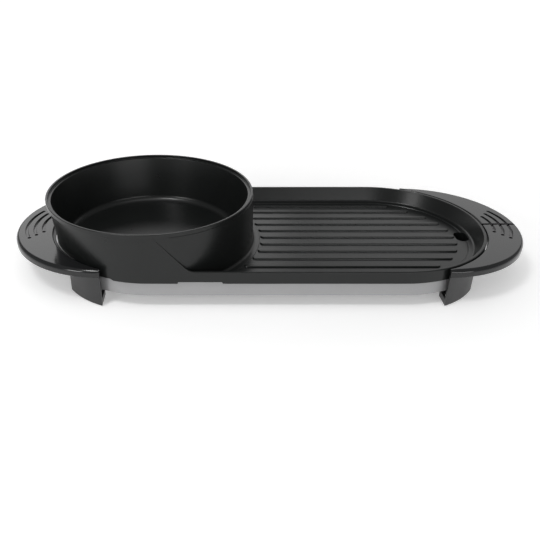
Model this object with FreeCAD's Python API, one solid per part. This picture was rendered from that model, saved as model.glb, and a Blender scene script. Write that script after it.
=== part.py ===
import FreeCAD, Part
import math
import os

os.makedirs("parts", exist_ok=True)

# Plan of the appliance. A round pot stands at the left end of a long oval plate, a grill fills the right.
# X runs along the oval from the pot to the grill, Y runs from the bare long side to the control side.
END_SPACING = 290.8  # from the pot's centre to the centre of the grill's round end
LEFT_ARC_SHIFT = 5.2  # the oval's left arc is centred this far to the right of the pot
SKIRT_R = 122.0  # half width of the oval plate, and the radius of both round ends
POT_X = -END_SPACING / 2
GRILL_X = END_SPACING / 2
LEFT_X = POT_X + LEFT_ARC_SHIFT
RIGHT_X = GRILL_X

# Heights, from the table up
BASE_LIFT = 15.5  # from the table to the underside of the base
PAN_T = 1.5
BASE_DEPTH = 9.3  # room for the elements between the base pan and the plate
GRILL_T = 2.5  # thickness of the cast grill floor and walls
GRILL_DEPTH = 18.0
SKIRT_H = 15.1  # depth of the skirt that hangs outside the silver band
POT_FLOOR_T = 6.5
POT_DEPTH = 60.4
PAN_TOP_Z = BASE_LIFT + PAN_T
PLATE_Z = PAN_TOP_Z + BASE_DEPTH
GRILL_FLOOR_Z = PLATE_Z + GRILL_T
GRILL_RIM_Z = GRILL_FLOOR_Z + GRILL_DEPTH
SKIRT_Z = GRILL_RIM_Z - SKIRT_H
POT_FLOOR_Z = PLATE_Z + POT_FLOOR_T
POT_RIM_Z = POT_FLOOR_Z + POT_DEPTH

# Cast plate: skirt, grill recess, ribs and drain
SKIRT_T = 2.0
SKIRT_EDGE_R = 1.2  # rounding of the rim's outer edge
RIM_FLAT = 3.5  # width of the flat on top of the grill's rim
WALL_DRAFT = 7.6  # how far the recess wall leans in from the rim to its foot
FOOT_FILLET = 3.0
RIB_COUNT = 11
RIB_SIDE_GAP = 16.4  # from the recess's foot to the middle of the outer ribs
RIB_HALF_W = 4.2
RIB_TOP_HALF_W = 3.4
RIB_H = 1.8
RIB_END_GAP = 19.4  # from the recess's foot to the ribs' right ends
RIB_END_RUN = 29.0  # the outer ribs end this far past the grill's end centre
RIB_START_GAP = 9.0  # from the pot's outer wall to the ribs' left ends
DRAIN_GAP = 10.9  # from the recess's foot to the middle of the drain slot
DRAIN_W = 15.7
DRAIN_L = 25.0
SPOUT_T = 2.0
SPOUT_H = 8.5
NOTCH_RUN = 38.8  # from the pot's centre to the shallow notch in the skirt's lower edge
NOTCH_L = 48.2
NOTCH_H = 2.0
RECESS_R = SKIRT_R - RIM_FLAT
FOOT_R = RECESS_R - WALL_DRAFT
RIB_PITCH = 2 * (FOOT_R - RIB_SIDE_GAP) / (RIB_COUNT - 1)
RIB_END_R = FOOT_R - RIB_END_GAP
DRAIN_R = FOOT_R - DRAIN_GAP

# Pot
POT_RIM_PROUD = 3.0  # the pot's rim stands out past the long sides by this much
POT_RIM_T = 2.7  # width of the rim's top
LID_STEP_H = 3.0
LID_STEP_W = 3.3
LIP_H = 4.5  # height of the rim's outer band
POT_DRAFT = 12.3  # how far the inner wall leans in from the lid step down to the floor
POT_FILLET = 9.0
POT_WALL_T = 3.5
POT_WALL_PROUD = 0.5  # the round outer wall stands out past the rim on the grill side
POT_OUTER_DRAFT = 1.5
POT_OUTER_T = 3.0
HOLLOW_DROP = 12.0  # solid metal above the hollow in the pot's double wall
FLARE_H = 20.0  # height over which the wall thickens up to the rim
SEAT_POCKET_GAP = 14.7  # from the pot's floor edge in to the shallow pocket for its element
SEAT_POCKET_H = 2.0
CHANNEL_GAP = 1.2  # room beside the cold ends where they leave the pocket
POT_RIM_R = SKIRT_R + POT_RIM_PROUD
POT_OUTER_R = POT_RIM_R + POT_WALL_PROUD
LID_Z = POT_RIM_Z - LID_STEP_H
LID_R = POT_RIM_R - POT_RIM_T
WELL_R = LID_R - LID_STEP_W
LIP_Z = POT_RIM_Z - LIP_H
SEAT_POCKET_R = WELL_R - POT_DRAFT - SEAT_POCKET_GAP

# Flat cheeks that join the pot to the long sides
CHEEK_STEP = 0.4  # the cheek stands this far proud of the pot's wall where that wall is cut flat
CHEEK_TOP_RUN = 12.4  # the cheek's top runs this far past the pot's centre
CHEEK_CORNER_R = 8.0
CHEEK_FOOT_RUN = 55.4  # past the pot's centre, where the slanted edge would reach the grill's rim
CHEEK_FOOT_R = 6.0

# Silver band and base pan
BAND_GAP = 0.5  # between the skirt and the band
BAND_T = 2.0
BAND_OVERLAP = 3.5  # how far the band reaches up inside the skirt
BAND_R = SKIRT_R - SKIRT_T - BAND_GAP
PAN_R = BAND_R - BAND_T
BAND_TOP_Z = SKIRT_Z + BAND_OVERLAP
POST_R = 4.0
POST_INSET = 13.5  # from the pan's edge to the middle of each post
POST_LEFT_RUN = 30.0  # from the pot's centre to the posts on its long sides
POST_RIGHT_RUN = 50.4  # from the grill's end centre back to the posts on its long sides
POST_ANGLE = 35.0
POST_RING_R = PAN_R - POST_INSET
PAN_DRAIN_MARGIN = 3.5  # free room round the spout in the pan
WIRE_HOLE_W = 26.0
WIRE_HOLE_H = 9.0

# Legs
LEG_TIP_U = 48.3  # from an end's centre to the leg's flat front face
LEG_ARC_LESS = 19.0  # the leg's outer wall has a radius this much smaller than the skirt's
LEG_ARC_U = 3.9
LEG_ARC_V = 25.1
LEG_REAR_DROP = 40.0  # from the skirt's side in to the leg's inner end
LEG_REACH_IN = 10.2  # the leg reaches in under the base by this much past the band
LEG_WALL = 3.0
BAND_SEAT_GAP = 0.1  # between the leg and the band that it hugs
SKIRT_CLEAR = 1.0  # between the skirt and the legs and handles
PAD_PROUD = 1.0
PAD_R = 7.0
PAD_H = 3.0
PAD_INSET = 5.1  # from the skirt's circle in to the middle of each pad
PAD_ANGLE = 55.6
PAD_BOSS_R = 8.0
SCREW_R = 2.0
SCREW_HEAD_R = 3.5
SCREW_HEAD_H = 2.2
SCREW_FIT = 0.05
LEG_SCREW_L = 10.0
LEG_SCREW_INSET = 6.0  # from the pan's edge to the leg screws
LEG_SCREW_ANGLES = (58.5, 50.0)
LEG_BOSS_R = 4.5
LEG_ARC_R = SKIRT_R - LEG_ARC_LESS
LEG_REAR_V = SKIRT_R - LEG_REAR_DROP
LEG_REACH_R = PAN_R - LEG_REACH_IN
LEG_SCREW_RING_R = PAN_R - LEG_SCREW_INSET
PAD_U = (SKIRT_R - PAD_INSET) * math.cos(math.radians(PAD_ANGLE))
PAD_V = (SKIRT_R - PAD_INSET) * math.sin(math.radians(PAD_ANGLE))

# Handles: a crescent at each end, level with the grill's rim
HANDLE_DROP = 0.2  # the handles' tops lie this far below the grill's rim
HANDLE_U = 48.0  # from the end's centre to the centre of the handle's outer curve
HANDLE_REACH = 44.5  # how far the handle stands out past the skirt at its middle
HANDLE_H = 9.1
HANDLE_T = 3.0
HANDLE_ROUND = 4.8
ARM_T = 2.5
ARM_GAP = 0.3
ARM_END_V = 1.2
GROOVE_U = 78.0  # from the end's centre to the centre of the grooves
GROOVE_REACHES = (32.5, 22.8, 12.8)  # from the skirt to each groove, at the middle
GROOVE_HALF_L = (38.0, 30.0, 21.5)
GROOVE_W = 2.0
GROOVE_DEPTH = 1.2
HANDLE_SCREW_R = 1.5
HANDLE_SCREW_L = 4.4
HANDLE_SCREW_RING = 8.5  # from the skirt to the line of handle screws
HANDLE_SCREW_TIP = 15.4  # from the handle's outer curve in to the last screw
HANDLE_SCREW_SHARES = (0.26, 0.65, 1.0)  # of the way from the handle's middle to its last screw
SMALL_HEAD_R = 2.85
HANDLE_R = SKIRT_R + HANDLE_REACH - HANDLE_U
HANDLE_TOP_Z = GRILL_RIM_Z - HANDLE_DROP
HANDLE_LOW_Z = HANDLE_TOP_Z - HANDLE_H
ARM_Z = HANDLE_TOP_Z - HANDLE_T - ARM_T

# Heating
TUBE_R = 3.25
TUBE_GAP = 0.3  # between an element and the plate that it heats
POT_RING_INSET = 20.0  # from the pocket's edge in to the pot's ring tube
GRILL_LOOP_INSET = 55.9  # from the recess's foot in to the grill's loop
LOOP_START = 16.0  # the loop's left arc is centred this far left of the reflector's
COLD_END_RUN = 30.0  # from the loop's left arc to the grill's cold ends
LEG_PAIR_HALF = 12.0
LEG_BEND_R = 8.0
COLD_END_INSET = 13.5  # from the pan's edge to the cold ends
REFLECTOR_T = 0.6
REFLECTOR_LIFT = 1.0
REFLECTOR_LIP_T = 1.2
POT_REFLECTOR_PROUD = 2.0  # the reflector reaches out past the pocket by this much
GRILL_REFLECTOR_PROUD = 29.0  # and this much past the grill's loop
REFLECTOR_GAP = 13.4  # between the two reflectors
CLIP_L = 6.0
CLIP_W = 11.0
CUTOUT_R = 8.0
POT_RING_R = SEAT_POCKET_R - POT_RING_INSET
GRILL_LOOP_R = FOOT_R - GRILL_LOOP_INSET
POT_REFLECTOR_R = SEAT_POCKET_R + POT_REFLECTOR_PROUD
GRILL_REFLECTOR_R = GRILL_LOOP_R + GRILL_REFLECTOR_PROUD
GRILL_REFLECTOR_X0 = POT_X + POT_REFLECTOR_R + REFLECTOR_GAP + GRILL_REFLECTOR_R
GRILL_LOOP_X0 = GRILL_REFLECTOR_X0 - LOOP_START
GRILL_LEGS_X = GRILL_LOOP_X0 + COLD_END_RUN
COLD_END_Y = PAN_R - COLD_END_INSET
REFLECTOR_Z = PAN_TOP_Z + REFLECTOR_LIFT
REFLECTOR_TOP_Z = REFLECTOR_Z + REFLECTOR_T
POT_TUBE_Z = PLATE_Z + SEAT_POCKET_H - TUBE_GAP - TUBE_R
GRILL_TUBE_Z = PLATE_Z - TUBE_GAP - TUBE_R

# Control box on the rear long side
HOUSING_HALF_L = 80.0
HOUSING_REACH = 24.0
HOUSING_BOTTOM_Z = 4.0
HOUSING_SKIRT_GAP = 0.5
HOUSING_WALL = 2.5
PANEL_T = 2.5
JUMPER_SHARE = 0.636  # of the box's free length, between each thermostat and the terminal block
KNOB_R = 13.0
KNOB_L = 12.0
KNOB_GAP = 0.8  # between the knob and the panel
KNOB_SKIRT_T = 3.0
KNOB_CAP_T = 3.0
KNOB_SOCKET_L = 5.0
GRIP_W = 5.0
GRIP_PROUD = 2.5
GRIP_END_GAP = 2.0
SPINDLE_R = 3.0
SPINDLE_FIT = 0.05
SPINDLE_IN = 8.0  # how deep the spindle reaches into its thermostat
BUSH_R = 5.0
BUSH_PROUD = 3.2
NUT_R = 7.5
NUT_H = 2.2
THERMOSTAT_W = 30.0
THERMOSTAT_L = 16.0
THERMOSTAT_H = 20.0
LAMP_R = 3.0
LAMP_FLANGE_R = 4.5
LAMP_FLANGE_T = 1.5
LAMP_PROUD = 1.6
LAMP_ROUND = 1.4
BLOCK_W = 32.0
BLOCK_L = 13.0
BLOCK_TOP_GAP = 0.2
INLET_W = 17.0
INLET_H = 20.0
INLET_DEPTH = 21.0
INLET_WALL = 2.0
INLET_FLANGE_T = 1.5
INLET_FLANGE = 2.0
INLET_Y_GAP = 2.0
PIN_W = 4.0
PIN_T = 2.0
PIN_L = 14.0
PIN_SPREAD = 4.0
PANEL_SCREW_INSET = 6.5
PANEL_SCREW_L = 9.0
HOUSING_SCREW_INSET = 20.0  # from the box's ends
HOUSING_SCREW_L = 5.5
WIRE_R = 1.2
WIRE_PITCH = 3.5
WIRE_LANE_GAP = 3.4  # from the cold ends' line to the first wire
BOX_FREE_L = HOUSING_HALF_L - INLET_DEPTH - INLET_WALL - THERMOSTAT_W - BLOCK_W / 2
KNOB_X = (BLOCK_W + THERMOSTAT_W) / 2 + JUMPER_SHARE * BOX_FREE_L
LAMP_X = (KNOB_X - THERMOSTAT_W / 2) / 2
HOUSING_SCREW_X = HOUSING_HALF_L - HOUSING_SCREW_INSET
HOUSING_SCREW_Z = PAN_TOP_Z + WIRE_HOLE_H / 2
HOUSING_Y0 = BAND_R
HOUSING_Y1 = HOUSING_Y0 + HOUSING_REACH
HOUSING_TOP_Z = SKIRT_Z - HOUSING_SKIRT_GAP
PANEL_Y1 = HOUSING_Y1 + PANEL_T
KNOB_Z = (HOUSING_BOTTOM_Z + HOUSING_TOP_Z) / 2
KNOB_Y0 = PANEL_Y1 + KNOB_GAP
KNOB_Y1 = KNOB_Y0 + KNOB_L

# Drip tray under the drain
TRAY_BEHIND = 45.4  # the tray starts this far before the drain slot
TRAY_END_GAP = 5.5  # from the tray's end to the edge of the base
TRAY_HALF_W = 36.0
TRAY_H = 10.5
TRAY_WALL = 1.5
TRAY_FLANGE = 3.0
TRAY_TOP_GAP = 1.5
TRAY_SLIDE_GAP = 0.3
RAIL_T = 1.5
TAB_HALF_W = 12.0
TAB_L = 4.5
TAB_H = 5.0
TRAY_X0 = GRILL_X + DRAIN_R - TRAY_BEHIND
TRAY_X1 = RIGHT_X + BAND_R - TRAY_END_GAP

# The row's origin is the middle of the whole appliance, so the centre line of the oval stands off it
FRONT_Y = -POT_RIM_R
REAR_Y = KNOB_Y1 + GRIP_PROUD
CENTRE_Y = (FRONT_Y + REAR_Y) / 2

UP = FreeCAD.Vector(0, 0, 1)
ALONG_X = FreeCAD.Vector(1, 0, 0)
ALONG_Y = FreeCAD.Vector(0, 1, 0)


def point(x, y, z=0.0):
    return FreeCAD.Vector(x, y, z)


def block(x0, x1, y0, y1, z0, z1):
    return Part.makeBox(x1 - x0, y1 - y0, z1 - z0, point(x0, y0, z0))


def rod(r, length, start, direction=UP):
    return Part.makeCylinder(r, length, start, direction)


def oval_wire(x0, x1, r, z, y=0.0):
    """Closed outline of two half circles of radius r about x0 and x1, joined by straight sides."""
    low_left = point(x0, y - r, z)
    low_right = point(x1, y - r, z)
    high_right = point(x1, y + r, z)
    high_left = point(x0, y + r, z)
    edges = [
        Part.LineSegment(low_left, low_right).toShape(),
        Part.Arc(low_right, point(x1 + r, y, z), high_right).toShape(),
        Part.LineSegment(high_right, high_left).toShape(),
        Part.Arc(high_left, point(x0 - r, y, z), low_left).toShape(),
    ]
    return Part.Wire(edges)


def oval(x0, x1, r, z0, z1, y=0.0):
    return Part.Face(oval_wire(x0, x1, r, z0, y)).extrude(point(0, 0, z1 - z0))


def oval_taper(x0, x1, r0, z0, r1, z1, y=0.0):
    """Oval solid whose radius changes evenly from r0 at z0 to r1 at z1."""
    wires = [oval_wire(x0, x1, r0, z0, y), oval_wire(x0, x1, r1, z1, y)]
    return Part.makeLoft(wires, True, True)


def turned(profile, x):
    """Solid turned about the upright line at x from a closed profile of (radius, height) points."""
    corners = [point(x + r, 0, z) for r, z in profile]
    outline = Part.makePolygon(corners + corners[:1])
    return Part.Face(outline).revolve(point(x, 0, 0), UP, 360)


def ring(r0, r1, z0, z1, x, y=0.0):
    return rod(r1, z1 - z0, point(x, y, z0)).cut(rod(r0, z1 - z0, point(x, y, z0)))


def joined(shapes):
    return shapes[0].multiFuse(shapes[1:]).removeSplitter() if len(shapes) > 1 else shapes[0]


def edges_at(shape, z, tolerance=0.01):
    """Edges that lie flat at height z."""
    boxes = [(e, e.BoundBox) for e in shape.Edges]
    return [e for e, box in boxes if abs(box.ZMin - z) < tolerance and abs(box.ZMax - z) < tolerance]


def edges_at_y(shape, y, tolerance=0.01):
    """Edges that lie in the upright plane at y."""
    boxes = [(e, e.BoundBox) for e in shape.Edges]
    return [e for e, box in boxes if abs(box.YMin - y) < tolerance and abs(box.YMax - y) < tolerance]


def hole(r, length, start, direction=UP):
    """Cutter for a hole that a shank of radius r passes through."""
    return rod(r + SCREW_FIT, length, start, direction)


def pot_outer_r(z):
    """Radius of the pot's round outer wall, which widens evenly towards its foot."""
    return POT_OUTER_R + POT_OUTER_DRAFT * (LIP_Z - z) / (LIP_Z - GRILL_FLOOR_Z)


def pot_inner_r(z):
    """Radius of the pot's inner wall, which leans in evenly towards the floor."""
    return WELL_R - POT_DRAFT * (LID_Z - z) / (LID_Z - POT_FLOOR_Z)


def pot_column(top_z, low_z):
    profile = [(0, low_z), (pot_outer_r(low_z), low_z), (pot_outer_r(top_z), top_z), (0, top_z)]
    return turned(profile, POT_X)


def pot_well():
    """The pot's inside: flat floor, leaning wall, the lid's step and the open top."""
    profile = [
        (0, POT_FLOOR_Z),
        (pot_inner_r(POT_FLOOR_Z), POT_FLOOR_Z),
        (WELL_R, LID_Z),
        (LID_R, LID_Z),
        (LID_R, POT_RIM_Z + 1),
        (0, POT_RIM_Z + 1),
    ]
    well = turned(profile, POT_X)
    return well.makeFillet(POT_FILLET, edges_at(well, POT_FLOOR_Z))


def grill_recess():
    """The grill's inside, from its floor up past the rim, ending at the pot's round wall."""
    slope = WALL_DRAFT / GRILL_DEPTH
    recess = oval_taper(POT_X, RIGHT_X, FOOT_R, GRILL_FLOOR_Z, RECESS_R + slope, GRILL_RIM_Z + 1)
    recess = recess.cut(pot_column(GRILL_RIM_Z + 2, GRILL_FLOOR_Z - 1))
    pieces = sorted(recess.Solids, key=lambda s: s.BoundBox.XMax)
    recess = pieces[-1]
    return recess.makeFillet(FOOT_FILLET, edges_at(recess, GRILL_FLOOR_Z))


def ribs():
    solids = []
    for number in range(RIB_COUNT):
        y = (number - (RIB_COUNT - 1) / 2) * RIB_PITCH
        start_r = pot_outer_r(GRILL_FLOOR_Z) + RIB_START_GAP
        x0 = POT_X + math.sqrt(start_r ** 2 - y ** 2) + RIB_HALF_W
        end_run = math.sqrt(max(RIB_END_R ** 2 - y ** 2, RIB_END_RUN ** 2))
        x1 = GRILL_X + end_run - RIB_HALF_W
        top_z = GRILL_FLOOR_Z + RIB_H
        low_z = GRILL_FLOOR_Z - GRILL_T / 2
        low_half_w = RIB_HALF_W + (RIB_HALF_W - RIB_TOP_HALF_W) * (GRILL_T / 2) / RIB_H
        solids.append(oval_taper(x0, x1, low_half_w, low_z, RIB_TOP_HALF_W, top_z, y))
    return solids


def drain_slot(margin, z0, z1):
    half_run = (DRAIN_L - DRAIN_W) / 2
    slot = oval(-half_run, half_run, DRAIN_W / 2 + margin, z0, z1)
    slot.rotate(point(0, 0, 0), UP, 90)
    slot.translate(point(GRILL_X + DRAIN_R, 0, 0))
    return slot


def cheek(side):
    """Flat cheek in the plane of a long side, from the pot down a slanted edge to the grill's rim."""
    top_x = POT_X + CHEEK_TOP_RUN
    top_z = LIP_Z
    drop = top_z - GRILL_RIM_Z
    foot_x = POT_X + CHEEK_FOOT_RUN
    slant = foot_x - top_x
    length = math.hypot(slant, drop)
    turn = math.atan2(drop, slant)
    reach = CHEEK_CORNER_R * math.tan(turn / 2)
    foot_reach = CHEEK_FOOT_R * math.tan(turn / 2)
    ux = slant / length
    uz = -drop / length
    y0 = side * SKIRT_R
    low_z = SKIRT_Z
    end_x = foot_x + foot_reach
    corner = point(top_x, y0, top_z)
    foot = point(foot_x, y0, GRILL_RIM_Z)
    bend_a = corner + point(-reach, 0, 0)
    bend_b = corner + point(ux * reach, 0, uz * reach)
    bend_mid = corner + (point(-1, 0, 0) + point(ux, 0, uz)).normalize() * (
        CHEEK_CORNER_R / math.cos(turn / 2) - CHEEK_CORNER_R
    )
    foot_a = foot + point(-ux * foot_reach, 0, -uz * foot_reach)
    foot_b = point(end_x, y0, GRILL_RIM_Z)
    foot_mid = foot + (point(1, 0, 0) - point(ux, 0, uz)).normalize() * (
        CHEEK_FOOT_R / math.cos(turn / 2) - CHEEK_FOOT_R
    )
    low_right = point(end_x, y0, low_z)
    low_left = point(POT_X, y0, low_z)
    high_left = point(POT_X, y0, top_z)
    edges = [
        Part.LineSegment(high_left, bend_a).toShape(),
        Part.Arc(bend_a, bend_mid, bend_b).toShape(),
        Part.LineSegment(bend_b, foot_a).toShape(),
        Part.Arc(foot_a, foot_mid, foot_b).toShape(),
        Part.LineSegment(foot_b, low_right).toShape(),
        Part.LineSegment(low_right, low_left).toShape(),
        Part.LineSegment(low_left, high_left).toShape(),
    ]
    return Part.Face(Part.Wire(edges)).extrude(point(0, -side * SKIRT_T, 0))


def pot_hollow():
    """Space inside the pot's double wall on the grill side, open from below."""
    top_z = LIP_Z - HOLLOW_DROP
    turn_z = POT_FLOOR_Z + POT_FILLET
    low_z = PLATE_Z - 1
    profile = [
        (pot_inner_r(turn_z) + POT_WALL_T, low_z),
        (pot_outer_r(low_z) - POT_OUTER_T, low_z),
        (pot_outer_r(top_z) - POT_OUTER_T, top_z),
        (pot_inner_r(top_z) + POT_WALL_T, top_z),
        (pot_inner_r(turn_z) + POT_WALL_T, turn_z),
    ]
    hollow = turned(profile, POT_X)
    inside = oval(LEFT_X, RIGHT_X, SKIRT_R - POT_OUTER_T, low_z, top_z)
    right_side = block(POT_X + CHEEK_TOP_RUN, RIGHT_X, -SKIRT_R, SKIRT_R, low_z, top_z)
    return hollow.common(inside).common(right_side)


def cooking_plate():
    """One casting: the pot, the ribbed grill, the skirt and the cheeks, under a non-stick coat."""
    rim = oval(LEFT_X, RIGHT_X, SKIRT_R, SKIRT_Z, GRILL_RIM_Z)
    rim = rim.makeFillet(SKIRT_EDGE_R, edges_at(rim, GRILL_RIM_Z))
    slope = WALL_DRAFT / GRILL_DEPTH
    under_r = FOOT_R + GRILL_T - slope * GRILL_T
    under_top_r = FOOT_R + GRILL_T + slope * (GRILL_DEPTH - 1)
    under = oval_taper(LEFT_X, RIGHT_X, under_r, PLATE_Z, under_top_r, GRILL_RIM_Z - 1)
    gap_r = SKIRT_R - SKIRT_T
    gap_z = GRILL_FLOOR_Z + (gap_r - FOOT_R - GRILL_T) / slope
    skirt_gap = oval(LEFT_X, RIGHT_X, gap_r, SKIRT_Z - 1, gap_z)
    body = rim.cut(skirt_gap).fuse(under)
    column = pot_column(LIP_Z, SKIRT_Z)
    column = column.common(oval(LEFT_X, RIGHT_X, SKIRT_R, SKIRT_Z, LIP_Z)).cut(skirt_gap)
    for side in (-1, 1):
        ys = sorted((side * (SKIRT_R - CHEEK_STEP), side * (SKIRT_R + 1)))
        column = column.cut(block(POT_X, RIGHT_X, ys[0], ys[1], GRILL_RIM_Z, LIP_Z))
    flare_z = LIP_Z - FLARE_H
    flare_low_r = pot_inner_r(flare_z) + POT_WALL_T
    flare_high_r = pot_inner_r(LIP_Z) + POT_WALL_T
    flare = turned([(0, flare_z), (flare_low_r, flare_z), (flare_high_r, LIP_Z), (0, LIP_Z)], POT_X)
    lip = rod(POT_RIM_R, LIP_H, point(POT_X, 0, LIP_Z))
    spout = drain_slot(SPOUT_T, PLATE_Z - SPOUT_H, GRILL_FLOOR_Z - GRILL_T / 2)
    body = body.multiFuse([column, flare, lip, spout, cheek(-1), cheek(1)])
    recess = grill_recess()
    body = body.cut(recess).cut(pot_well()).cut(pot_hollow())
    body = body.multiFuse(ribs())
    body = body.cut(drain_slot(0, PLATE_Z - SPOUT_H - 1, GRILL_FLOOR_Z + RIB_H + 1))
    body = body.cut(rod(SEAT_POCKET_R, SEAT_POCKET_H, point(POT_X, 0, PLATE_Z)))
    channel = LEG_PAIR_HALF + TUBE_R + CHANNEL_GAP
    channel_y = COLD_END_Y + CHANNEL_GAP
    pocket_top = PLATE_Z + SEAT_POCKET_H
    body = body.cut(block(POT_X - channel, POT_X + channel, 0, channel_y, PLATE_Z - 1, pocket_top))
    notch_x = POT_X + NOTCH_RUN
    for side in (-1, 1):
        y0 = min(side * (SKIRT_R - SKIRT_T - 1), side * (SKIRT_R + 1))
        notch = block(notch_x, notch_x + NOTCH_L, y0, y0 + SKIRT_T + 2, SKIRT_Z - 1, SKIRT_Z + NOTCH_H)
        body = body.cut(notch)
    return body.removeSplitter()


def base_band():
    """Silver band round the base, with a hole for the leads on the control side."""
    shell = oval(LEFT_X, RIGHT_X, BAND_R, BASE_LIFT, BAND_TOP_Z)
    shell = shell.cut(oval(LEFT_X, RIGHT_X, PAN_R, BASE_LIFT - 1, BAND_TOP_Z + 1))
    shell = shell.cut(wire_hole(PAN_R - 1, BAND_R + 1))
    for x in housing_screw_xs():
        shell = shell.cut(hole(HANDLE_SCREW_R, BAND_T + 2, point(x, PAN_R - 1, HOUSING_SCREW_Z), ALONG_Y))
    return shell


def wire_hole(y0, y1):
    return block(-WIRE_HOLE_W / 2, WIRE_HOLE_W / 2, y0, y1, PAN_TOP_Z + 1, PAN_TOP_Z + 1 + WIRE_HOLE_H)


def housing_screw_xs():
    return (-HOUSING_SCREW_X, HOUSING_SCREW_X)


def post_places():
    side_xs = (POT_X + POST_LEFT_RUN, GRILL_X - POST_RIGHT_RUN)
    places = [(x, side * POST_RING_R) for x in side_xs for side in (-1, 1)]
    angle = math.radians(POST_ANGLE)
    for centre, outward in ((LEFT_X, -1), (RIGHT_X, 1)):
        for side in (-1, 1):
            u = outward * POST_RING_R * math.cos(angle)
            places.append((centre + u, side * POST_RING_R * math.sin(angle)))
    return places


def leg_screw_places():
    places = []
    for centre, outward in ((LEFT_X, -1), (RIGHT_X, 1)):
        for side in (-1, 1):
            for angle in LEG_SCREW_ANGLES:
                u = LEG_SCREW_RING_R * math.cos(math.radians(angle))
                v = LEG_SCREW_RING_R * math.sin(math.radians(angle))
                places.append((centre + outward * u, side * v))
    return places


def base_pan():
    """Steel pan that closes the base from below, with posts that the cooking plate stands on."""
    solids = [oval(LEFT_X, RIGHT_X, PAN_R, BASE_LIFT, PAN_TOP_Z)]
    solids += [rod(POST_R, BASE_DEPTH, point(x, y, PAN_TOP_Z)) for x, y in post_places()]
    pan = joined(solids)
    pan = pan.cut(drain_slot(SPOUT_T + PAN_DRAIN_MARGIN, BASE_LIFT - 1, PAN_TOP_Z + 1))
    for x, y in leg_screw_places():
        pan = pan.cut(hole(SCREW_R, PAN_T + 2, point(x, y, BASE_LIFT - 1)))
    return pan


def leg_tier(end_x, arc_x, outward, side, inner_r, inset, z0, z1):
    """One storey of a leg: inside its curved outer wall, outside a circle about the base's round end."""
    arc_centre = point(end_x + outward * LEG_ARC_U, side * LEG_ARC_V, z0)
    outer = rod(LEG_ARC_R - inset, z1 - z0, arc_centre)
    u0 = LEG_TIP_U + inset
    u1 = LEG_TIP_U + LEG_ARC_R
    v0 = LEG_REAR_V + inset
    v1 = LEG_ARC_V + LEG_ARC_R + 1
    xs = sorted((end_x + outward * u0, end_x + outward * u1))
    ys = sorted((side * v0, side * v1))
    tier = outer.common(block(xs[0], xs[1], ys[0], ys[1], z0, z1))
    return tier.cut(rod(inner_r + inset, z1 - z0, point(arc_x, 0, z0)))


def crescent(end_x, arc_x, outward, inset, z0, z1):
    """Plan of a handle: inside the outer circle, outside the skirt, and past the tips' line."""
    outer = rod(HANDLE_R - inset, z1 - z0, point(end_x + outward * HANDLE_U, 0, z0))
    inner = rod(SKIRT_R + SKIRT_CLEAR, z1 - z0, point(arc_x, 0, z0))
    xs = sorted((end_x + outward * (LEG_TIP_U + inset), end_x + outward * (HANDLE_U + HANDLE_R + 1)))
    return outer.common(block(xs[0], xs[1], -HANDLE_R, HANDLE_R, z0, z1)).cut(inner)


def handle_screw_places(arc_x, outward, side):
    """Screws on a circle outside the skirt, from near the handle's middle to near its tip."""
    r = SKIRT_R + HANDLE_SCREW_RING
    tip_r = HANDLE_R - HANDLE_SCREW_TIP
    last = math.acos((r ** 2 + HANDLE_U ** 2 - tip_r ** 2) / (2 * r * HANDLE_U))
    places = []
    for share in HANDLE_SCREW_SHARES:
        angle = share * last
        places.append((arc_x + outward * r * math.cos(angle), side * r * math.sin(angle)))
    return places


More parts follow.
